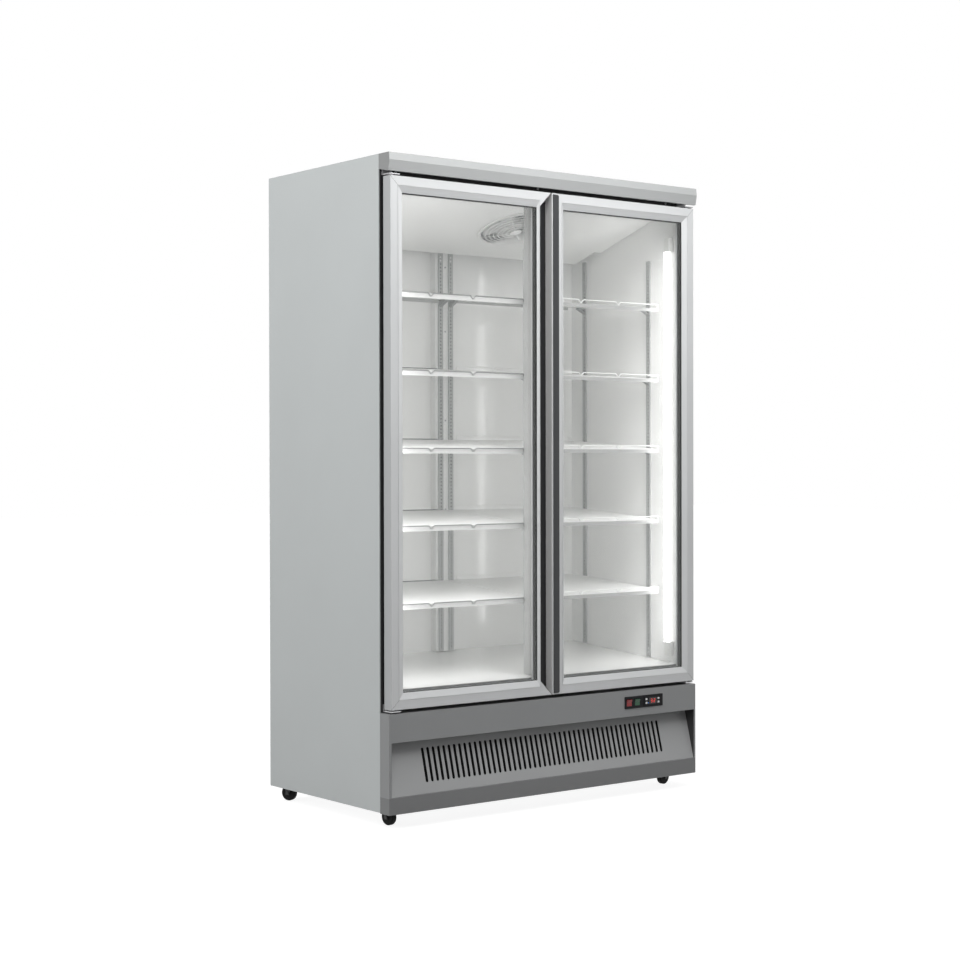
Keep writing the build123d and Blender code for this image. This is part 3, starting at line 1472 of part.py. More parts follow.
# The fork and wheel are drawn trailing towards the front, then turned about the kingpin
fork_inner = wheel_hub_width / 2 + fork_gap
fork_outer = fork_inner + fork_sheet
for corner_name, (cx, cy) in caster_centres.items():
    with BuildPart() as fork:
        with BuildSketch(Plane.XY.offset(crown_bottom)):
            Circle(fork_crown_radius)
            with Locations((0, -caster_trail / 2)):
                Rectangle(2 * fork_outer, caster_trail + fork_leg_width / 2)
            Circle(kingpin_radius + running_gap, mode=Mode.SUBTRACT)
        extrude(amount=crown_top - crown_bottom)
        for leg in (-1, 1):
            with BuildSketch(Plane.YZ.offset(leg * fork_inner)):
                with BuildLine():
                    Polyline(
                        (fork_leg_width / 4, crown_bottom),
                        (-caster_trail - fork_leg_width / 4, crown_bottom),
                        (-caster_trail - axle_head_radius, wheel_radius),
                        (-caster_trail - axle_head_radius, wheel_radius - axle_head_radius),
                        (-caster_trail + axle_head_radius, wheel_radius - axle_head_radius),
                        (-caster_trail + axle_head_radius, wheel_radius),
                        close=True,
                    )
                make_face()
            extrude(amount=leg * fork_sheet)
            with BuildSketch(Plane.YZ.offset(leg * fork_outer)):
                with Locations((-caster_trail, wheel_radius)):
                    RegularPolygon(axle_head_radius, 6)
            extrude(amount=leg * axle_head)
        with BuildSketch(Plane.YZ):
            with Locations((-caster_trail, wheel_radius)):
                Circle(axle_radius)
        extrude(amount=fork_outer, both=True)
    turn = caster_turns[corner_name]
    placed_fork = Location((cx, cy, 0), (0, 0, turn)) * fork.part
    placed_fork.label = f"{corner_name}_fork"
    export_step(placed_fork, f"parts/{corner_name}_fork.step")

    with BuildPart() as wheel:
        with BuildSketch(Plane.YZ):
            with Locations((-caster_trail, wheel_radius)):
                Circle(wheel_radius)
        extrude(amount=wheel_width / 2, both=True)
        fillet(wheel.edges().filter_by(GeomType.CIRCLE), radius=wheel_round)
        with BuildSketch(Plane.YZ):
            with Locations((-caster_trail, wheel_radius)):
                Circle(wheel_hub_radius)
        extrude(amount=wheel_hub_width / 2, both=True)
        with BuildSketch(Plane.YZ):
            with Locations((-caster_trail, wheel_radius)):
                Circle(axle_radius + running_gap)
        extrude(amount=wheel_hub_width, both=True, mode=Mode.SUBTRACT)
    placed_wheel = Location((cx, cy, 0), (0, 0, turn)) * wheel.part
    placed_wheel.label = f"{corner_name}_wheel"
    export_step(placed_wheel, f"parts/{corner_name}_wheel.step")

# Screws: heads along the top of the front frame and down the shelf post
frame_screw_z = canopy_foot + frame_screw_rise
frame_screw_xs = (left_screw_from_side - half_width, middle_screw_x, half_width - right_screw_from_side)
post_screw_drops = [top_screw_drop] + [
    second_screw_drop + step * post_screw_step for step in range(post_screw_steps)
]
with BuildPart() as screws:
    for x in frame_screw_xs:
        with BuildSketch(upright(frame_front)):
            with Locations((x, frame_screw_z)):
                Circle(screw_radius)
        extrude(amount=screw_head)
    for drop in post_screw_drops:
        with BuildSketch(upright(post_front)):
            with Locations((0, post_top - drop)):
                Circle(post_screw_radius)
        extrude(amount=screw_head)
screws.part.label = "screws"
export_step(screws.part, "parts/screws.step")
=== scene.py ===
from math import cos, pi, radians, sin

import bpy
from mathutils import Matrix, Vector


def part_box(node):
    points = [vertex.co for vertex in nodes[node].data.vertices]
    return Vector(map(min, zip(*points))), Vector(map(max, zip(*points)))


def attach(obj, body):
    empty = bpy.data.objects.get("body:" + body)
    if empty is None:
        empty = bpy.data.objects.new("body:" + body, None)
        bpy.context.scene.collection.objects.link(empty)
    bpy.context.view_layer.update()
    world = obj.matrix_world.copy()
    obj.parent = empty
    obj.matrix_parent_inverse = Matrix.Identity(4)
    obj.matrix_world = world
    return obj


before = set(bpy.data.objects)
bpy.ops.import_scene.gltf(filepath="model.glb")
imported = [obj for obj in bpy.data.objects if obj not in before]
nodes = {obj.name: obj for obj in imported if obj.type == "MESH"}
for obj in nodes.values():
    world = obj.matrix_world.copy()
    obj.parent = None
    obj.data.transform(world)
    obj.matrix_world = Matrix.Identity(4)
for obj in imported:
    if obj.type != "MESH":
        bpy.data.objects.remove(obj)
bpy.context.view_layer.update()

# Power of the area lights in watts, and strength of the lamp, the indicators and the world
key_power = 55.0
front_power = 110.0
left_power = 96.0
right_power = 45.0
top_power = 30.0
left_bay_power = 1.5
right_bay_power = 1.0
left_fill_power = 2.3
right_fill_power = 0.8
lamp_body = 0.75
lamp_core = 5.0
lamp_to_back = 2.2
digit_glow = 0.75
indicator_glow = 0.8
world_diffuse = 0.18

# Materials


def new_material(name):
    """A new node material; returns it with its tree and its shader."""
    material = bpy.data.materials.new(name)
    material.use_nodes = True
    tree = material.node_tree
    return material, tree, tree.nodes["Principled BSDF"]


def noise(tree, scale, detail=3.0, stretch=(1, 1, 1)):
    """A noise texture on object coordinates, stretched along the axes."""
    coordinates = tree.nodes.new("ShaderNodeTexCoord")
    mapping = tree.nodes.new("ShaderNodeMapping")
    mapping.inputs["Scale"].default_value = stretch
    texture = tree.nodes.new("ShaderNodeTexNoise")
    texture.inputs["Scale"].default_value = scale
    texture.inputs["Detail"].default_value = detail
    tree.links.new(coordinates.outputs["Object"], mapping.inputs["Vector"])
    tree.links.new(mapping.outputs["Vector"], texture.inputs["Vector"])
    return texture


def ramp(tree, source, low, high, start=0.3, end=0.7):
    """The source, from start to end, spread between two values."""
    node = tree.nodes.new("ShaderNodeMapRange")
    node.inputs["From Min"].default_value = start
    node.inputs["From Max"].default_value = end
    node.inputs["To Min"].default_value = low
    node.inputs["To Max"].default_value = high
    tree.links.new(source, node.inputs["Value"])
    return node.outputs["Result"]


def tint(tree, factor, dark, light):
    """A colour between two, by a factor."""
    node = tree.nodes.new("ShaderNodeMix")
    node.data_type = "RGBA"
    node.inputs[6].default_value = (*dark, 1)
    node.inputs[7].default_value = (*light, 1)
    tree.links.new(factor, node.inputs[0])
    return node.outputs[2]


def bump(tree, shader, height, strength, distance, edge=0.0):
    """Bump on the shader, over normals that round sharp edges."""
    node = tree.nodes.new("ShaderNodeBump")
    node.inputs["Strength"].default_value = strength
    node.inputs["Distance"].default_value = distance
    tree.links.new(height, node.inputs["Height"])
    if edge:
        rounding = tree.nodes.new("ShaderNodeBevel")
        rounding.samples = 4
        rounding.inputs["Radius"].default_value = edge
        tree.links.new(rounding.outputs["Normal"], node.inputs["Normal"])
    tree.links.new(node.outputs["Normal"], shader.inputs["Normal"])


def coated(name, colour, roughness, grain=900.0, depth=0.00006, metallic=0.0, edge=0.0007,
           spread=0.05, stretch=(1, 1, 1), wear=3.0, rough_spread=0.06, specular=0.5):
    """A painted, plated or moulded surface: grain, faint cloudy tone and uneven gloss."""
    material, tree, shader = new_material(name)
    cloud = noise(tree, wear, 4.0)
    fine = noise(tree, grain, 2.0, stretch)
    dark = tuple(c * (1 - spread) for c in colour)
    light = tuple(min(1.0, c * (1 + spread)) for c in colour)
    tone = tint(tree, ramp(tree, cloud.outputs["Fac"], 0, 1), dark, light)
    tree.links.new(tone, shader.inputs["Base Color"])
    gloss = ramp(tree, fine.outputs["Fac"], roughness - rough_spread, roughness + rough_spread)
    tree.links.new(gloss, shader.inputs["Roughness"])
    shader.inputs["Metallic"].default_value = metallic
    shader.inputs["Specular IOR Level"].default_value = specular
    bump(tree, shader, fine.outputs["Fac"], 0.35, depth, edge)
    return material


def clear_glass(name):
    """Thin glass with faint wiping marks, whose mirror share grows towards grazing angles."""
    straight_on = 0.038
    strongest = 0.9
    material, tree, shader = new_material(name)
    shader.inputs["Base Color"].default_value = (0.93, 0.97, 0.95, 1)
    shader.inputs["Metallic"].default_value = 1.0
    slant = tree.nodes.new("ShaderNodeLayerWeight")
    slant.inputs["Blend"].default_value = 0.5
    grazing = combine(tree, "POWER", slant.outputs["Facing"], 5.0)
    grown = combine(tree, "MULTIPLY", grazing, 1 - straight_on)
    mirror = combine(tree, "MULTIPLY", combine(tree, "ADD", grown, straight_on), strongest)
    smear = noise(tree, 9.0, 5.0, (1, 1, 0.25))
    marks = ramp(tree, smear.outputs["Fac"], 0.002, 0.012)
    tree.links.new(combine(tree, "ADD", mirror, marks), shader.inputs["Alpha"])
    tree.links.new(ramp(tree, smear.outputs["Fac"], 0.015, 0.06), shader.inputs["Roughness"])
    return material


def by_direction(tree, direction, start, end):
    """0 to 1 as the surface's own normal turns towards a direction."""
    geometry = tree.nodes.new("ShaderNodeNewGeometry")
    dot = tree.nodes.new("ShaderNodeVectorMath")
    dot.operation = "DOT_PRODUCT"
    dot.inputs[1].default_value = Vector(direction).normalized()
    tree.links.new(geometry.outputs["Normal"], dot.inputs[0])
    return ramp(tree, dot.outputs["Value"], 0, 1, start, end)


def facing(tree, direction):
    """1 on the faces that look in a direction, and 0 on the others."""
    return by_direction(tree, direction, 0.9, 0.99)


def along(tree, axis, start, end):
    """0 to 1 between two places on an axis of the object."""
    coordinates = tree.nodes.new("ShaderNodeTexCoord")
    parts = tree.nodes.new("ShaderNodeSeparateXYZ")
    tree.links.new(coordinates.outputs["Object"], parts.inputs[0])
    return ramp(tree, parts.outputs[axis], 0, 1, start, end)


def side_of_middle(tree):
    """0 left of the object's middle plane and 1 right of it."""
    return along(tree, "X", -0.001, 0.001)


def combine(tree, operation, first, second):
    """Two values joined by a maths operation."""
    node = tree.nodes.new("ShaderNodeMath")
    node.operation = operation
    for socket, value in zip(node.inputs, (first, second)):
        if isinstance(value, (int, float)):
            socket.default_value = value
        else:
            tree.links.new(value, socket)
    return node.outputs[0]


def colour_split(material, factor, other):
    """Mixes the material's own colour with another one where the factor is 1."""
    tree = material.node_tree
    colour = tree.nodes["Principled BSDF"].inputs["Base Color"]
    node = tree.nodes.new("ShaderNodeMix")
    node.data_type = "RGBA"
    node.inputs[7].default_value = (*other, 1)
    tree.links.new(factor, node.inputs[0])
    tree.links.new(colour.links[0].from_socket, node.inputs[6])
    tree.links.new(node.outputs[2], colour)
    return material


def uneven_glow(tree, shader, colour, low, scale):
    """A faintly uneven emission colour, down to a low share of the full one."""
    fine = noise(tree, scale, 2.0, (1, 1, 0.3))
    dim = tuple(c * low for c in colour)
    glow = tint(tree, ramp(tree, fine.outputs["Fac"], 0, 1), dim, colour)
    tree.links.new(glow, shader.inputs["Emission Color"])
    shader.inputs["Roughness"].default_value = 0.4


def lamp_tube(name, colour):
    """A duller tube with a lit core towards the front and the bay's middle, and one to the back."""
    material, tree, shader = new_material(name)
    shader.inputs["Base Color"].default_value = (0.8, 0.8, 0.8, 1)
    uneven_glow(tree, shader, colour, 0.95, 60)
    inward, forward = 0.62, -0.78
    right = side_of_middle(tree)
    on_right = combine(tree, "MULTIPLY", right, by_direction(tree, (-inward, forward, 0), 0.74, 0.86))
    left = combine(tree, "SUBTRACT", 1.0, right)
    on_left = combine(tree, "MULTIPLY", left, by_direction(tree, (inward, forward, 0), 0.74, 0.86))
    to_front = combine(tree, "ADD", on_right, on_left)
    to_back = combine(tree, "MULTIPLY", right, by_direction(tree, (-0.56, 0.83, 0), 0.70, 0.90))
    core = combine(tree, "ADD", to_front, combine(tree, "MULTIPLY", to_back, lamp_to_back))
    extra = combine(tree, "MULTIPLY", core, lamp_core - lamp_body)
    tree.links.new(combine(tree, "ADD", extra, lamp_body), shader.inputs["Emission Strength"])
    return material


def glowing(name, colour, strength):
    """A small lit surface with a faint unevenness."""
    material, tree, shader = new_material(name)
    shader.inputs["Base Color"].default_value = (*colour, 1)
    uneven_glow(tree, shader, colour, 0.85, 300)
    shader.inputs["Emission Strength"].default_value = strength
    return material


def canopy_paint():
    """Light grey paint, darker on the canopy's left end."""
    material = coated("canopy_paint", (0.39, 0.40, 0.40), 0.38, 1400, spread=0.02)
    return colour_split(material, facing(material.node_tree, (-1, 0, 0)), (0.25, 0.255, 0.255))


def fascia_paint():
    """Grey paint, with painted shade on the foot band and on the recess's right cheek."""
    foot_top = 0.0975
    cheek_x = 0.60
    material = coated("fascia_paint", (0.24, 0.245, 0.248), 0.4, 1400, spread=0.04)
    tree = material.node_tree
    colour_split(material, along(tree, "Z", foot_top, foot_top - 0.001), (0.165, 0.168, 0.17))
    at_right_end = along(tree, "X", cheek_x, cheek_x + 0.01)
    cheek = combine(tree, "MULTIPLY", at_right_end, facing(tree, (-1, 0, 0)))
    return colour_split(material, cheek, (0.03, 0.03, 0.031))


def white_sheet(name):
    """White painted sheet."""
    return coated(name, (0.80, 0.80, 0.79), 0.32, 1300, 0.00005, spread=0.02, edge=0.0005)


def mullion_sheet():
    """White sheet, with painted shade that makes the two sides that close the bays greyer."""
    material = white_sheet("mullion_sheet")
    for side in (-1, 1):
        colour_split(material, facing(material.node_tree, (side, 0, 0)), (0.33, 0.33, 0.327))
    return material


def shelf_sheet():
    """White sheet, with painted shade that makes the front faces of the shelves greyer."""
    material = white_sheet("shelf_sheet")
    front = by_direction(material.node_tree, (0, -1, 0), 0.85, 0.95)
    return colour_split(material, front, (0.38, 0.38, 0.376))


def rail_wire():
    """Plated wire, pale in the right bay, with painted shade that makes it dark in the left one."""
    material = coated("rail_wire", (0.10, 0.10, 0.10), 0.3, 1600, 0.00003, spread=0.04, edge=0)
    return colour_split(material, side_of_middle(material.node_tree), (0.84, 0.84, 0.83))


def galvanised():
    """Zinc-coated sheet with its spangle, with painted shade that darkens the faces that look up."""
    material = coated("galvanised", (0.50, 0.51, 0.52), 0.38, 60, 0.00003, 0.6, spread=0.14, wear=45)
    tree = material.node_tree
    upward_painted_shade = combine(tree, "MULTIPLY", facing(tree, (0, 0, 1)), 0.7)
    return colour_split(material, upward_painted_shade, (0.12, 0.122, 0.125))


def door_aluminium():
    """Brushed frames, darker on their outer sides, with a painted highlight that brightens the right
    door's meeting side.
    """
    outer_side = 0.6175
    meeting_side = 0.0022
    skin = 0.0004
    material = coated("door_aluminium", (0.60, 0.61, 0.615), 0.36, 700, 0.00003,
                      spread=0.03, stretch=(1, 1, 0.05))
    tree = material.node_tree
    for side in (-1, 1):
        outer = along(tree, "X", side * (outer_side - skin), side * outer_side)
        colour_split(material, outer, (0.42, 0.43, 0.435))
    # painted highlight: the right door's meeting side is made near white
    near_middle = along(tree, "X", meeting_side + skin, meeting_side)
    meeting_painted_highlight = combine(tree, "MULTIPLY", side_of_middle(tree), near_middle)
    return colour_split(material, meeting_painted_highlight, (0.93, 0.93, 0.925))


looks = {
    "side_paint": coated("side_paint", (0.50, 0.525, 0.525), 0.42, 1400, spread=0.02),
    "canopy_paint": canopy_paint(),
    "fascia_paint": fascia_paint(),
    "grille_paint": coated("grille_paint", (0.345, 0.35, 0.353), 0.4, 1400, spread=0.03),
    "door_aluminium": door_aluminium(),
    "black_paint": coated("black_paint", (0.012, 0.012, 0.013), 0.45, 1500),
    "white_enamel": coated("white_enamel", (0.88, 0.88, 0.87), 0.11, 1100, 0.00001, spread=0.012,
                           rough_spread=0.02),
    "white_sheet": white_sheet("white_sheet"),
    "mullion_sheet": mullion_sheet(),
    "shelf_sheet": shelf_sheet(),
    "white_wire": coated("white_wire", (0.92, 0.92, 0.91), 0.25, 1600, 0.00003, spread=0.02, edge=0),
    "rail_wire": rail_wire(),
    "zinc": coated("zinc", (0.37, 0.375, 0.375), 0.42, 90, 0.00003, 0.15, spread=0.10, wear=120),
    "clip_zinc": coated("clip_zinc", (0.23, 0.235, 0.235), 0.42, 90, 0.00003, 0.2,
                        spread=0.12, wear=120),
    "galvanised": galvanised(),
    "steel": coated("steel", (0.50, 0.50, 0.51), 0.32, 900, 0.00003, 0.8, stretch=(1, 1, 0.1)),
    "bare_aluminium": coated("bare_aluminium", (0.80, 0.80, 0.81), 0.4, 600, 0.00003, 0.2),
    "dark_fins": coated("dark_fins", (0.035, 0.035, 0.037), 0.5, 600, 0.00003, 0.3),
    "copper": coated("copper", (0.62, 0.28, 0.15), 0.3, 500, 0.00003, 0.9, spread=0.12, wear=30),
    "foam": coated("foam", (0.72, 0.64, 0.42), 0.85, 260, 0.0004, spread=0.08, wear=25),
    "rubber": coated("rubber", (0.010, 0.010, 0.010), 0.62, 900, 0.00008, specular=0.12),
    "black_plastic": coated("black_plastic", (0.007, 0.007, 0.008), 0.5, 1600, 0.00005, specular=0.12),
    "grip_plastic": coated("grip_plastic", (0.040, 0.041, 0.043), 0.5, 1500, 0.00006, specular=0.3),
    "white_plastic": coated("white_plastic", (0.74, 0.74, 0.72), 0.38, 1500, 0.00004),
    "bush_grey": coated("bush_grey", (0.16, 0.16, 0.165), 0.45, 1500, 0.00004),
    # a near-black sheet of painted shade behind the air grille's slots
    "painted_shade_sheet": coated("painted_shade_sheet", (0.010, 0.010, 0.011), 0.9, 700, 0.0005, edge=0, specular=0.1),
    "grey_plastic": coated("grey_plastic", (0.22, 0.22, 0.23), 0.45, 1500, 0.00005),
    "pale_plastic": coated("pale_plastic", (0.72, 0.72, 0.715), 0.4, 1500, 0.00005),
    "motor_grey": coated("motor_grey", (0.40, 0.40, 0.41), 0.5, 900, 0.00005),
    "red_rocker": coated("red_rocker", (0.26, 0.010, 0.013), 0.3, 1500, 0.00002, edge=0.0004),
    "green_rocker": coated("green_rocker", (0.006, 0.065, 0.026), 0.3, 1500, 0.00002, edge=0.0004),
    "display": coated("display", (0.02, 0.003, 0.003), 0.12, 1500, 0.00001, edge=0.0003),
    # dark seam lines of the door mitres, and painted shade in the screw recesses
    "seam_dark": coated("seam_dark", (0.03, 0.03, 0.032), 0.6, 900, edge=0),
    "slot_shade": coated("slot_shade", (0.008, 0.008, 0.008), 0.8, 900, edge=0, specular=0.1),
    "print_white": coated("print_white", (0.72, 0.72, 0.72), 0.5, 900, edge=0),
    "glass": clear_glass("glass"),
    "lamp": lamp_tube("lamp", (1.0, 0.995, 0.985)),
    "digit_red": glowing("digit_red", (1.0, 0.04, 0.03), digit_glow),
    "indicator_blue": glowing("indicator_blue", (0.05, 0.25, 1.0), indicator_glow),
}

node_looks = {
    "side_paint": ("side_panels",),
    "canopy_paint": ("canopy",),
    "fascia_paint": ("lower_fascia",),
    "grille_paint": ("air_grille",),
    "door_aluminium": ("left_door_frame", "right_door_frame"),
    "black_paint": ("front_frame", "compressor", "front_left_fork", "front_right_fork",
                    "rear_left_fork", "rear_right_fork", "caster_plates"),
    "white_enamel": ("inner_liner", "evaporator_cover"),
    "white_sheet": ("shelf_post",),
    "shelf_sheet": ("left_shelves", "right_shelves"),
    "mullion_sheet": ("centre_mullion",),
    "white_wire": ("fan_guard",),
    "rail_wire": ("shelf_rails",),
    "zinc": ("shelf_standards",),
    "clip_zinc": ("shelf_clips",),
    "galvanised": ("top_and_back_panel", "base_tray", "rear_grille", "fan_shroud"),
    "steel": ("hinge_brackets", "screws"),
    "bare_aluminium": ("evaporator_coil",),
    "dark_fins": ("condenser_coil",),
    "copper": ("copper_pipes",),
    "foam": ("insulation_foam",),
    "rubber": ("left_door_seals", "right_door_seals", "front_left_wheel", "front_right_wheel",
               "rear_left_wheel", "rear_right_wheel"),
    "black_plastic": ("control_plate", "controller_body", "left_grip_liner"),
    "grip_plastic": ("right_grip_strip",),
    "white_plastic": ("lamp_holders",),
    "bush_grey": ("left_door_bushes", "right_door_bushes"),
    "pale_plastic": ("evaporator_fan",),
    "grey_plastic": ("condenser_fan", "electrics_box"),
    "motor_grey": ("fan_motors",),
    "red_rocker": ("red_rocker",),
    "green_rocker": ("green_rocker",),
    "display": ("display_window",),
    "print_white": ("button_set", "button_light", "button_up", "button_down"),
    "glass": ("left_door_glass", "right_door_glass"),
    "lamp": ("lamps",),
}
for look, names in node_looks.items():
    for name in names:
        slots = nodes[name].data.materials
        for index in range(len(slots)):
            slots[index] = looks[look]
        if not slots:
            slots.append(looks[look])

# Added pieces


def piece(name, vertices, faces, look, body, slot_name):
    """A mesh piece in the shared frame that rides on a body."""
    mesh = bpy.data.meshes.new(name)
    mesh.from_pydata(vertices, [], faces)
    mesh.update()
    mesh.materials.append(looks[look])
    added = bpy.data.objects.new(name, mesh)
    bpy.context.scene.collection.objects.link(added)
    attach(added, body)


def merge_boxes(boxes):
    """Vertices and faces of boxes, each given by its centre and three half axes."""
    sides = ((0, 2, 3, 1), (4, 5, 7, 6), (0, 1, 5, 4), (2, 6, 7, 3), (0, 4, 6, 2), (1, 3, 7, 5))
    vertices, faces = [], []
    for centre, ax, ay, az in boxes:
        base = len(vertices)
        for k in (-1, 1):
            for j in (-1, 1):
                for i in (-1, 1):
                    vertices.append(centre + ax * i + ay * j + az * k)
        faces += [[base + corner for corner in side] for side in sides]
    return vertices, faces


def bar(x, y, z, length, width, depth, angle):
    """A flat box centred at a point and facing the front, its length turned by an angle from X."""
    lengthwise = Vector((cos(angle), 0, sin(angle)))
    across = Vector((-sin(angle), 0, cos(angle)))
    return Vector((x, y, z)), lengthwise * (length / 2), across * (width / 2), Vector((0, depth / 2, 0))


# Mitre seams at the two outer corners of each door frame
door_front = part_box("left_door_frame")[0][1]
seam_flat = 0.028
seam_length = seam_flat * 1.414
seam_width = 0.0005
seam_depth = 0.0002
for side in ("left", "right"):
    low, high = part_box(f"{side}_door_frame")
    outer_x, inward = (low[0], 1) if side == "left" else (high[0], -1)
    bars = []
    for end_z, up in ((low[2], 1), (high[2], -1)):
        middle_x = outer_x + inward * seam_flat / 2
        middle_z = end_z + up * seam_flat / 2
        slope = inward * up * pi / 4
        bars.append(bar(middle_x, door_front, middle_z, seam_length, seam_width, seam_depth, slope))
    piece(f"{side}_door_seams", *merge_boxes(bars), "seam_dark", f"{side}_door", "black_rubber")

# Red digits on the front of the display window, each drawn by its strokes
window_low, window_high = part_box("display_window")
window_x = (window_low[0] + window_high[0]) / 2
window_z = (window_low[2] + window_high[2]) / 2
digit_y = window_low[1] - 0.0001
digit_height = 0.0105
digit_width = 0.0055
digit_pitch = 0.0062
stroke_width = 0.0011
stroke_depth = 0.0002
stroke_share = 0.86
digit_strokes = {"2": "abged", "3": "abgcd"}
stroke_places = {
    "a": (0, 1, 0), "b": (0.5, 0.5, pi / 2), "c": (0.5, -0.5, pi / 2), "d": (0, -1, 0),
    "e": (-0.5, -0.5, pi / 2), "g": (0, 0, 0),
}
bars = []
for position, glyph in enumerate("3.2"):
    glyph_x = window_x + (position - 1) * digit_pitch
    if glyph == ".":
        low_z = window_z - digit_height / 2
        bars.append(bar(glyph_x, digit_y, low_z, stroke_width, stroke_width, stroke_depth, 0))
        continue
    for stroke in digit_strokes[glyph]:
        across, up, turned = stroke_places[stroke]
        length = (digit_height / 2 if turned else digit_width) * stroke_share
        stroke_x = glyph_x + across * digit_width
        stroke_z = window_z + up * digit_height / 2
        bars.append(bar(stroke_x, digit_y, stroke_z, length, stroke_width, stroke_depth, turned))
piece("display_digits", *merge_boxes(bars), "digit_red", "cabinet", "red_plastic")

# Dark strips of painted shade inside the slotted standards, behind their slots
wall_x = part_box("shelf_standards")[1][0]
mullion_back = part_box("centre_mullion")[1][1]
post_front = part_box("shelf_post")[0][1]
channel_depth = 0.0030
wall_rows = (-0.144, 0.185)
pair_offset = 0.021
strip_half = 0.0062
strip_skin = 0.0002
strip_low = 0.46
strip_high = 1.762
on_wall = (Vector((strip_skin, 0, 0)), Vector((0, strip_half, 0)))
on_pair = (Vector((strip_half, 0, 0)), Vector((0, strip_skin, 0)))
strip_middle = (strip_low + strip_high) / 2
strip_rise = Vector((0, 0, (strip_high - strip_low) / 2))
strips = [(s * (wall_x - channel_depth), y, on_wall) for y in wall_rows for s in (-1, 1)]
for s in (-1, 1):
    strips.append((s * pair_offset, mullion_back + channel_depth, on_pair))
    strips.append((s * pair_offset, post_front - channel_depth, on_pair))
boxes = [(Vector((x, y, strip_middle)), *halves, strip_rise) for x, y, halves in strips]
piece("standard_slot_shade", *merge_boxes(boxes), "slot_shade", "cabinet", "galvanised_steel")

# Pleated dark sheet of painted shade behind the slots of the air grille
grille_low, grille_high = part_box("air_grille")
grille_slope = (grille_high[1] - grille_low[1]) / (grille_high[2] - grille_low[2])
mat_low, mat_high = 0.124, 0.238
mat_half = 0.535
mat_gap = 0.010
pleat = 0.006
pleat_depth = 0.003
pleats = int(2 * mat_half / pleat)
mat_vertices = []
for k in range(pleats + 1):
    for z in (mat_low, mat_high):
        front_y = grille_low[1] + grille_slope * (z - grille_low[2])
        mat_y = front_y + mat_gap + pleat_depth * (k % 2)
        mat_vertices.append(Vector((-mat_half + k * pleat, mat_y, z)))
mat_faces = [(2 * k, 2 * k + 2, 2 * k + 3, 2 * k + 1) for k in range(pleats)]
piece("grille_shade_sheet", mat_vertices, mat_faces, "painted_shade_sheet", "cabinet", "black_rubber")

# Dark crosses of painted shade for the recesses of the screw heads on the front frame and the shelf
# post
head_height = 0.00162
recess_length = 0.0038
recess_width = 0.0009
recess_depth = 0.0001
recess_turn = 0.4
frame_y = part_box("front_frame")[0][1] - head_height
frame_screw_z = 1.9465
heads = [(x, frame_y, frame_screw_z) for x in (-0.568, -0.020, 0.532)]
heads += [(0.0, post_front - head_height, z) for z in (1.743, 1.527, 1.228, 0.929, 0.630)]
crosses = [bar(*head, recess_length, recess_width, recess_depth, angle)
           for head in heads for angle in (recess_turn, recess_turn + pi / 2)]
piece("screw_recesses", *merge_boxes(crosses), "seam_dark", "cabinet", "steel")

# Small blue indicator beside the display
dot_x = window_x - 0.020
dot_z = window_z - 0.0065
dot_sides = 12
dot_radius = 0.0011
dot_height = 0.0003
dot_angles = [2 * pi * k / dot_sides for k in range(dot_sides)]
dot_vertices = [Vector((dot_x + dot_radius * cos(a), digit_y - dot_height, dot_z + dot_radius * sin(a)))
                for a in dot_angles]
dot_vertices += [v + Vector((0, dot_height, 0)) for v in dot_vertices]
dot_faces = [list(range(dot_sides))]
for k in range(dot_sides):
    after = (k + 1) % dot_sides
    dot_faces.append([k, after, after + dot_sides, k + dot_sides])
piece("indicator_dot", dot_vertices, dot_faces, "indicator_blue", "cabinet", "red_plastic")

# Floor, light and camera


def background_rays(tree):
    """1 for the rays that show the background: from the camera, in gloss and through glass."""
    seen = tree.nodes.new("ShaderNodeLightPath").outputs
    gloss_or_glass = combine(tree, "MAXIMUM", seen["Is Glossy Ray"], seen["Is Transmission Ray"])
    return combine(tree, "MAXIMUM", seen["Is Camera Ray"], gloss_or_glass)


def choose_background(tree, plain, shown, output):
    """Gives the output the shown shader for the background's rays, and the plain one for light."""
    chosen = tree.nodes.new("ShaderNodeMixShader")
    tree.links.new(background_rays(tree), chosen.inputs[0])
    tree.links.new(plain, chosen.inputs[1])
    tree.links.new(shown, chosen.inputs[2])
    tree.links.new(chosen.outputs[0], output)


def floor_material():
    """A white floor that keeps the shadow, with painted shade that dims its glow near the object, and
    that is a plain grey for the light it sends back.
    """
    near, far = 0.9, 3.5
    near_white = 0.88
    material, tree, shader = new_material("floor")
    tree.nodes.remove(shader)
    white = tree.nodes.new("ShaderNodeEmission")
    distance = tree.nodes.new("ShaderNodeVectorMath")
    distance.operation = "LENGTH"
    coordinates = tree.nodes.new("ShaderNodeTexCoord")
    tree.links.new(coordinates.outputs["Object"], distance.inputs[0])
    # painted shade: the glow is dimmer near the object and full white far away
    glow = ramp(tree, distance.outputs["Value"], near_white, 1.0, near, far)
    tree.links.new(glow, white.inputs["Strength"])
    matte = tree.nodes.new("ShaderNodeBsdfDiffuse")
    cloud = ramp(tree, noise(tree, 0.7, 3.0).outputs["Fac"], 0, 1)
    tree.links.new(tint(tree, cloud, (0.27, 0.27, 0.27), (0.29, 0.29, 0.29)), matte.inputs["Color"])
    shown = tree.nodes.new("ShaderNodeAddShader")
    tree.links.new(white.outputs[0], shown.inputs[0])
    tree.links.new(matte.outputs[0], shown.inputs[1])
    grey = tree.nodes.new("ShaderNodeBsdfDiffuse")
    grey.inputs["Color"].default_value = (0.22, 0.22, 0.22, 1)
    surface = tree.nodes["Material Output"].inputs["Surface"]
    choose_background(tree, grey.outputs[0], shown.outputs[0], surface)
    return material


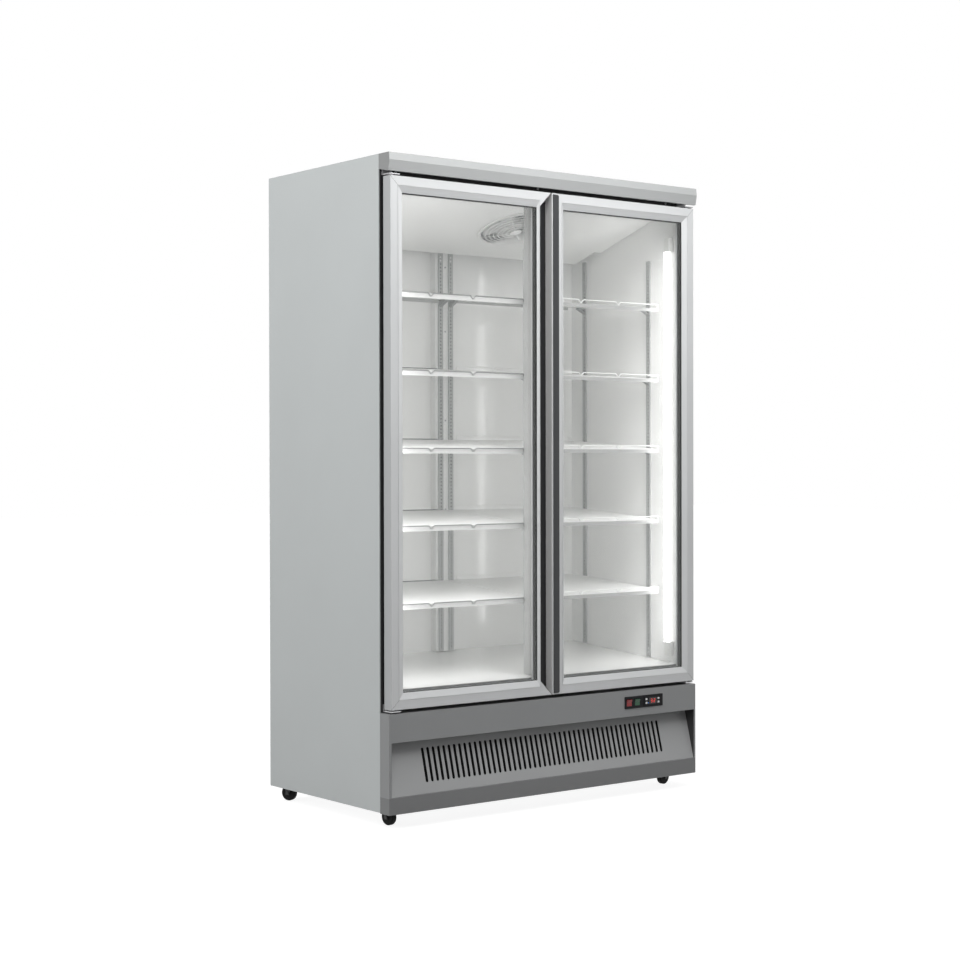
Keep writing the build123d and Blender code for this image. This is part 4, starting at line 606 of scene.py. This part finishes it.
def lay_floor():
    """A wide flat floor under the object."""
    reach = 30.0
    corners = [(-reach, -reach, 0), (reach, -reach, 0), (reach, reach, 0), (-reach, reach, 0)]
    mesh = bpy.data.meshes.new("floor")
    mesh.from_pydata(corners, [], [(0, 1, 2, 3)])
    mesh.materials.append(floor_material())
    floor = bpy.data.objects.new("floor", mesh)
    bpy.context.scene.collection.objects.link(floor)


def light_world():
    """A weak even light from all around, in front of a white backdrop."""
    world = bpy.data.worlds.new("studio")
    bpy.context.scene.world = world
    world.use_nodes = True
    tree = world.node_tree
    surround = tree.nodes["Background"]
    surround.inputs["Color"].default_value = (1, 1, 1, 1)
    surround.inputs["Strength"].default_value = world_diffuse
    white = tree.nodes.new("ShaderNodeBackground")
    white.inputs["Color"].default_value = (1, 1, 1, 1)
    surface = tree.nodes["World Output"].inputs["Surface"]
    choose_background(tree, surround.outputs[0], white.outputs[0], surface)


def softbox(name, place, target, width, height, power):
    """A rectangular area light aimed at a point."""
    light = bpy.data.lights.new(name, "AREA")
    light.shape = "RECTANGLE"
    light.size = width
    light.size_y = height
    light.energy = power
    holder = bpy.data.objects.new(name, light)
    aim = (Vector(target) - Vector(place)).to_track_quat("-Z", "X")
    holder.matrix_world = Matrix.Translation(place) @ aim.to_matrix().to_4x4()
    bpy.context.scene.collection.objects.link(holder)
    return holder


def light_studio():
    """Soft lights above the object, before it and at both its sides."""
    softbox("key", (0.0, -1.55, 3.05), (0, -0.3, 1.7), 2.4, 1.0, key_power)
    softbox("front", (-4.2, -4.2, 5.2), (0, -0.3, 1.2), 3.0, 3.0, front_power)
    softbox("left", (-3.9, 0.2, 2.8), (-0.6, 0, 1.5), 2.6, 2.6, left_power)
    softbox("right", (3.9, 0.2, 2.8), (0.6, 0, 1.5), 2.6, 2.6, right_power)
    softbox("top", (0.0, 0.4, 4.4), (0, 0, 1.0), 3.0, 2.4, top_power)


def light_bays():
    """In each bay a strip of light beside its lamp and a weak wide fill, neither of them seen."""
    bay_height = 1.32
    bay_lights = (
        ("left", (-0.545, -0.270, 1.15), (0, 0.08, 1.15), 0.02, left_bay_power),
        ("right", (0.540, -0.270, 1.15), (0, 0.08, 1.15), 0.02, right_bay_power),
        ("left_fill", (-0.295, -0.285, 1.12), (-0.295, 0.3, 1.12), 0.46, left_fill_power),
        ("right_fill", (0.295, -0.285, 1.12), (0.295, 0.3, 1.12), 0.46, right_fill_power),
    )
    for name, place, target, width, power in bay_lights:
        light = softbox(f"bay_{name}", place, target, bay_height, width, power)
        light.visible_glossy = False
        light.visible_camera = False


def set_camera():
    """The camera at the photograph's viewing angle."""
    place = (-3.8182, -4.8557, 1.0839)
    yaw, pitch, roll = radians(37.95), radians(-0.51), radians(-0.11)
    data = bpy.data.cameras.new("camera")
    data.sensor_width = 36.0
    data.lens = 70.76
    camera = bpy.data.objects.new("camera", data)
    forward = Vector((sin(yaw) * cos(pitch), cos(yaw) * cos(pitch), sin(pitch)))
    level_right = Vector((cos(yaw), -sin(yaw), 0))
    level_up = level_right.cross(forward)
    right = level_right * cos(roll) + level_up * sin(roll)
    up = right.cross(forward)
    turn = Matrix((right, up, -forward)).transposed().to_4x4()
    camera.matrix_world = Matrix.Translation(place) @ turn
    bpy.context.scene.collection.objects.link(camera)
    bpy.context.scene.camera = camera


lay_floor()
light_world()
light_studio()
light_bays()
set_camera()
bpy.context.scene.view_settings.view_transform = "Standard"
